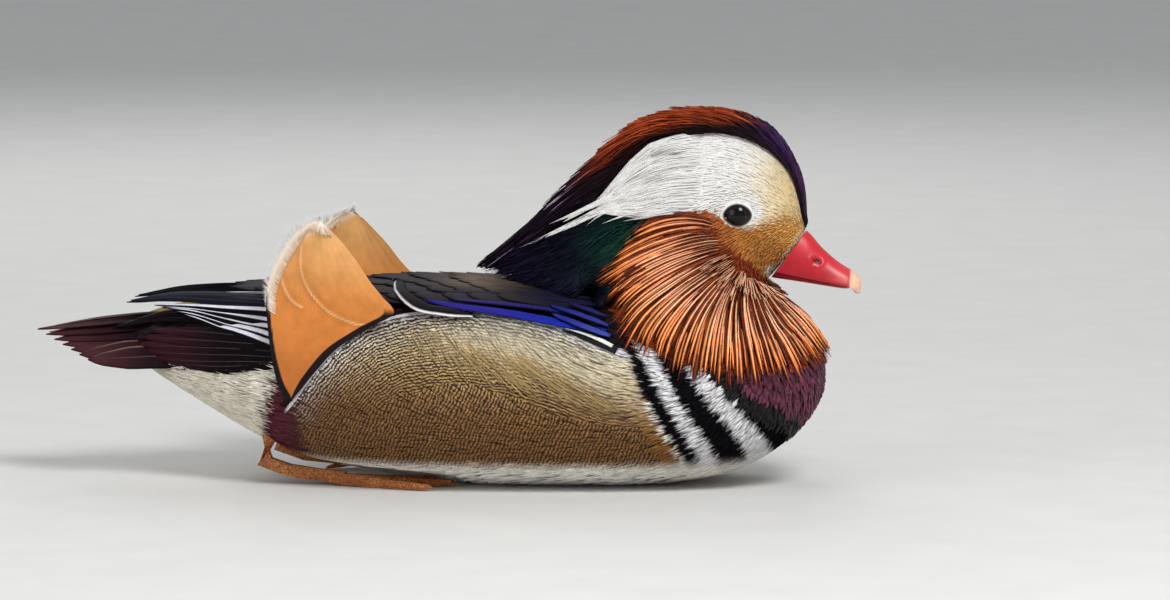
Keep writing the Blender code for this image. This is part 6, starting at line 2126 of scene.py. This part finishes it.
FLANK_MATERIAL = flank_material()
SKIN_MATERIAL = FLANK_MATERIAL.mat
BREAST_MATERIAL = coat_material("breast_feathers", 0.55, 0.22, 0.06, 0.25, 10, 3, 0.3)
PLAIN_MATERIAL = coat_material("plain_feathers", 0.65, 0.04, 0.0, spread=0.1)
DOWN_MATERIAL = coat_material("down", 0.7, 0.1, 0.03, spread=0.14)
DARK_MATERIAL = coat_material("back_feathers", 0.6, 0.05, 0.0, 0.3, 16, 4, 0.3)
SILK_MATERIAL = coat_material("silky_feathers", 0.6, 0.12, 0.02, spread=0.06)
CHEEK_MATERIAL = coat_material("cheek_feathers", 0.6, 0.12, 0.02, spread=0.2)
HACKLE_MATERIAL = coat_material("hackles", 0.5, 0.2, 0.0, spread=0.2)
GLOSS_MATERIAL = coat_material("glossy_feathers", 0.45, 0.08, 0.0, spread=0.3)
WING_MATERIAL = coat_material("wing_feathers", 0.55, 0.03, 0.0, 0.16, 42, 6, 0.16, 0.05,
                              (34, 32, 38))
PLAIN_VANE_MATERIAL = coat_material("bar_covert", 0.55, 0.2, 0.02, 0.08, 30, 5, 0.06)
FLIGHT_MATERIAL = coat_material("flight_feathers", 0.55, 0.05, 0.0, 0.16, 60, 8, 0.12, 0.06,
                                (70, 56, 58))
SAIL_MATERIAL = sail_material()
BILL_MATERIAL = painted("bill_horn", 0.10, 260.0, 0.12, 0.0002, Roughness=0.36,
                        Specular_IOR_Level=0.35, Coat_Weight=0.2, Coat_Roughness=0.2,
                        Subsurface_Weight=0.05, Subsurface_Scale=0.001)
EYE_MATERIAL = painted("eye_surface", 0.25, 900.0, 0.02, 0.00005, Roughness=0.1,
                       Specular_IOR_Level=0.18, Coat_Weight=0.2, Coat_Roughness=0.02)
LID_MATERIAL = painted("lid_skin", 0.12, 1200.0, 0.4, 0.0002, Roughness=0.55)

skin = build_skin()
SKIN_FACES, SKIN_UV = unwrap(skin)
skin.data.materials.clear()
skin.data.materials.append(SKIN_MATERIAL)
SKIN_POINTS = read_points(skin.data)
SKIN_TREE = tree_of(skin)
NAPE_TREE = joined_tree(("neck", "head"))
NAPE_SHEET = side_sheet(NAPE_TREE, (470, 760), (120, 310), 3)
HEAD_SHEET = side_sheet(SKIN_TREE, (560, 800), (120, 310), 1)
paint_skin(skin)
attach(skin, "root")
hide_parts("torso", "neck", "head")

for side in (-1, 1):
    flank_coat(side)
    body_coats(side)
    face_coats(side)
    ruff(side)
    crest(side)
    brow_plumes(side)
    nape(side)
    wing(side)
    flight(side)
    tail(side)
    sail(side)
    gold_strands(side)
    flank_border(side)
    eye(side)
bill_part("horn_upper", UPPER_BILL, 0.00015, True)
bill_part("horn_lower", LOWER_BILL, -0.00015, False)
legs = leg_material()
for word in ("left", "right"):
    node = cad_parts[f"leg_{word}"]
    node.data.materials.clear()
    node.data.materials.append(legs.mat)


# Floor, light and camera

def make_floor():
    turn = 2 * np.pi * np.arange(96) / 96
    mesh = bpy.data.meshes.new("floor")
    points = [(40 * math.cos(a), 40 * math.sin(a), 0.0) for a in turn]
    mesh.from_pydata(points, [], [list(range(96))])
    made = Nodes("floor_paper", Roughness=0.85, Specular_IOR_Level=0.15)
    tone = made.ramp(made.noise(30.0, 2.0), 0.3, 0.7)
    made.join(made.mix(tone, grey((222, 221, 217)), grey((226, 225, 221))),
              made.shader.inputs["Base Color"])
    mesh.materials.append(made.mat)
    floor = bpy.data.objects.new("floor", mesh)
    bpy.context.scene.collection.objects.link(floor)


def area_light(name, where, towards, size, power):
    light = bpy.data.lights.new(name, "AREA")
    light.shape, light.size, light.energy = "DISK", size, power
    obj = bpy.data.objects.new(name, light)
    obj.location = where
    obj.rotation_euler = (Vector(towards) - Vector(where)).to_track_quat("-Z", "Y").to_euler()
    bpy.context.scene.collection.objects.link(obj)


make_floor()
world = bpy.data.worlds.new("pale_room")
world.use_nodes = True
world.node_tree.nodes["Background"].inputs["Color"].default_value = (0.92, 0.95, 1.0, 1)
world.node_tree.nodes["Background"].inputs["Strength"].default_value = 0.42
bpy.context.scene.world = world
bpy.context.scene.view_settings.view_transform = "Standard"
area_light("key", (0.70, -1.05, 1.30), (0.03, 0, 0.07), 0.7, 20)
area_light("fill", (-1.1, -1.1, 0.6), (0.0, 0, 0.06), 1.2, 6)
area_light("back", (-0.3, 1.5, 1.2), (0.0, 0, 0.06), 1.2, 8)

camera = bpy.data.objects.new("camera", bpy.data.cameras.new("camera"))
camera.data.sensor_width = 36
camera.data.lens = 36 * CAMERA_FAR / VIEW_WIDTH
camera.location = Vector(AIM + BACK * CAMERA_FAR)
camera.rotation_euler = Vector(-BACK).to_track_quat("-Z", "Y").to_euler()
bpy.context.scene.collection.objects.link(camera)
bpy.context.scene.camera = camera
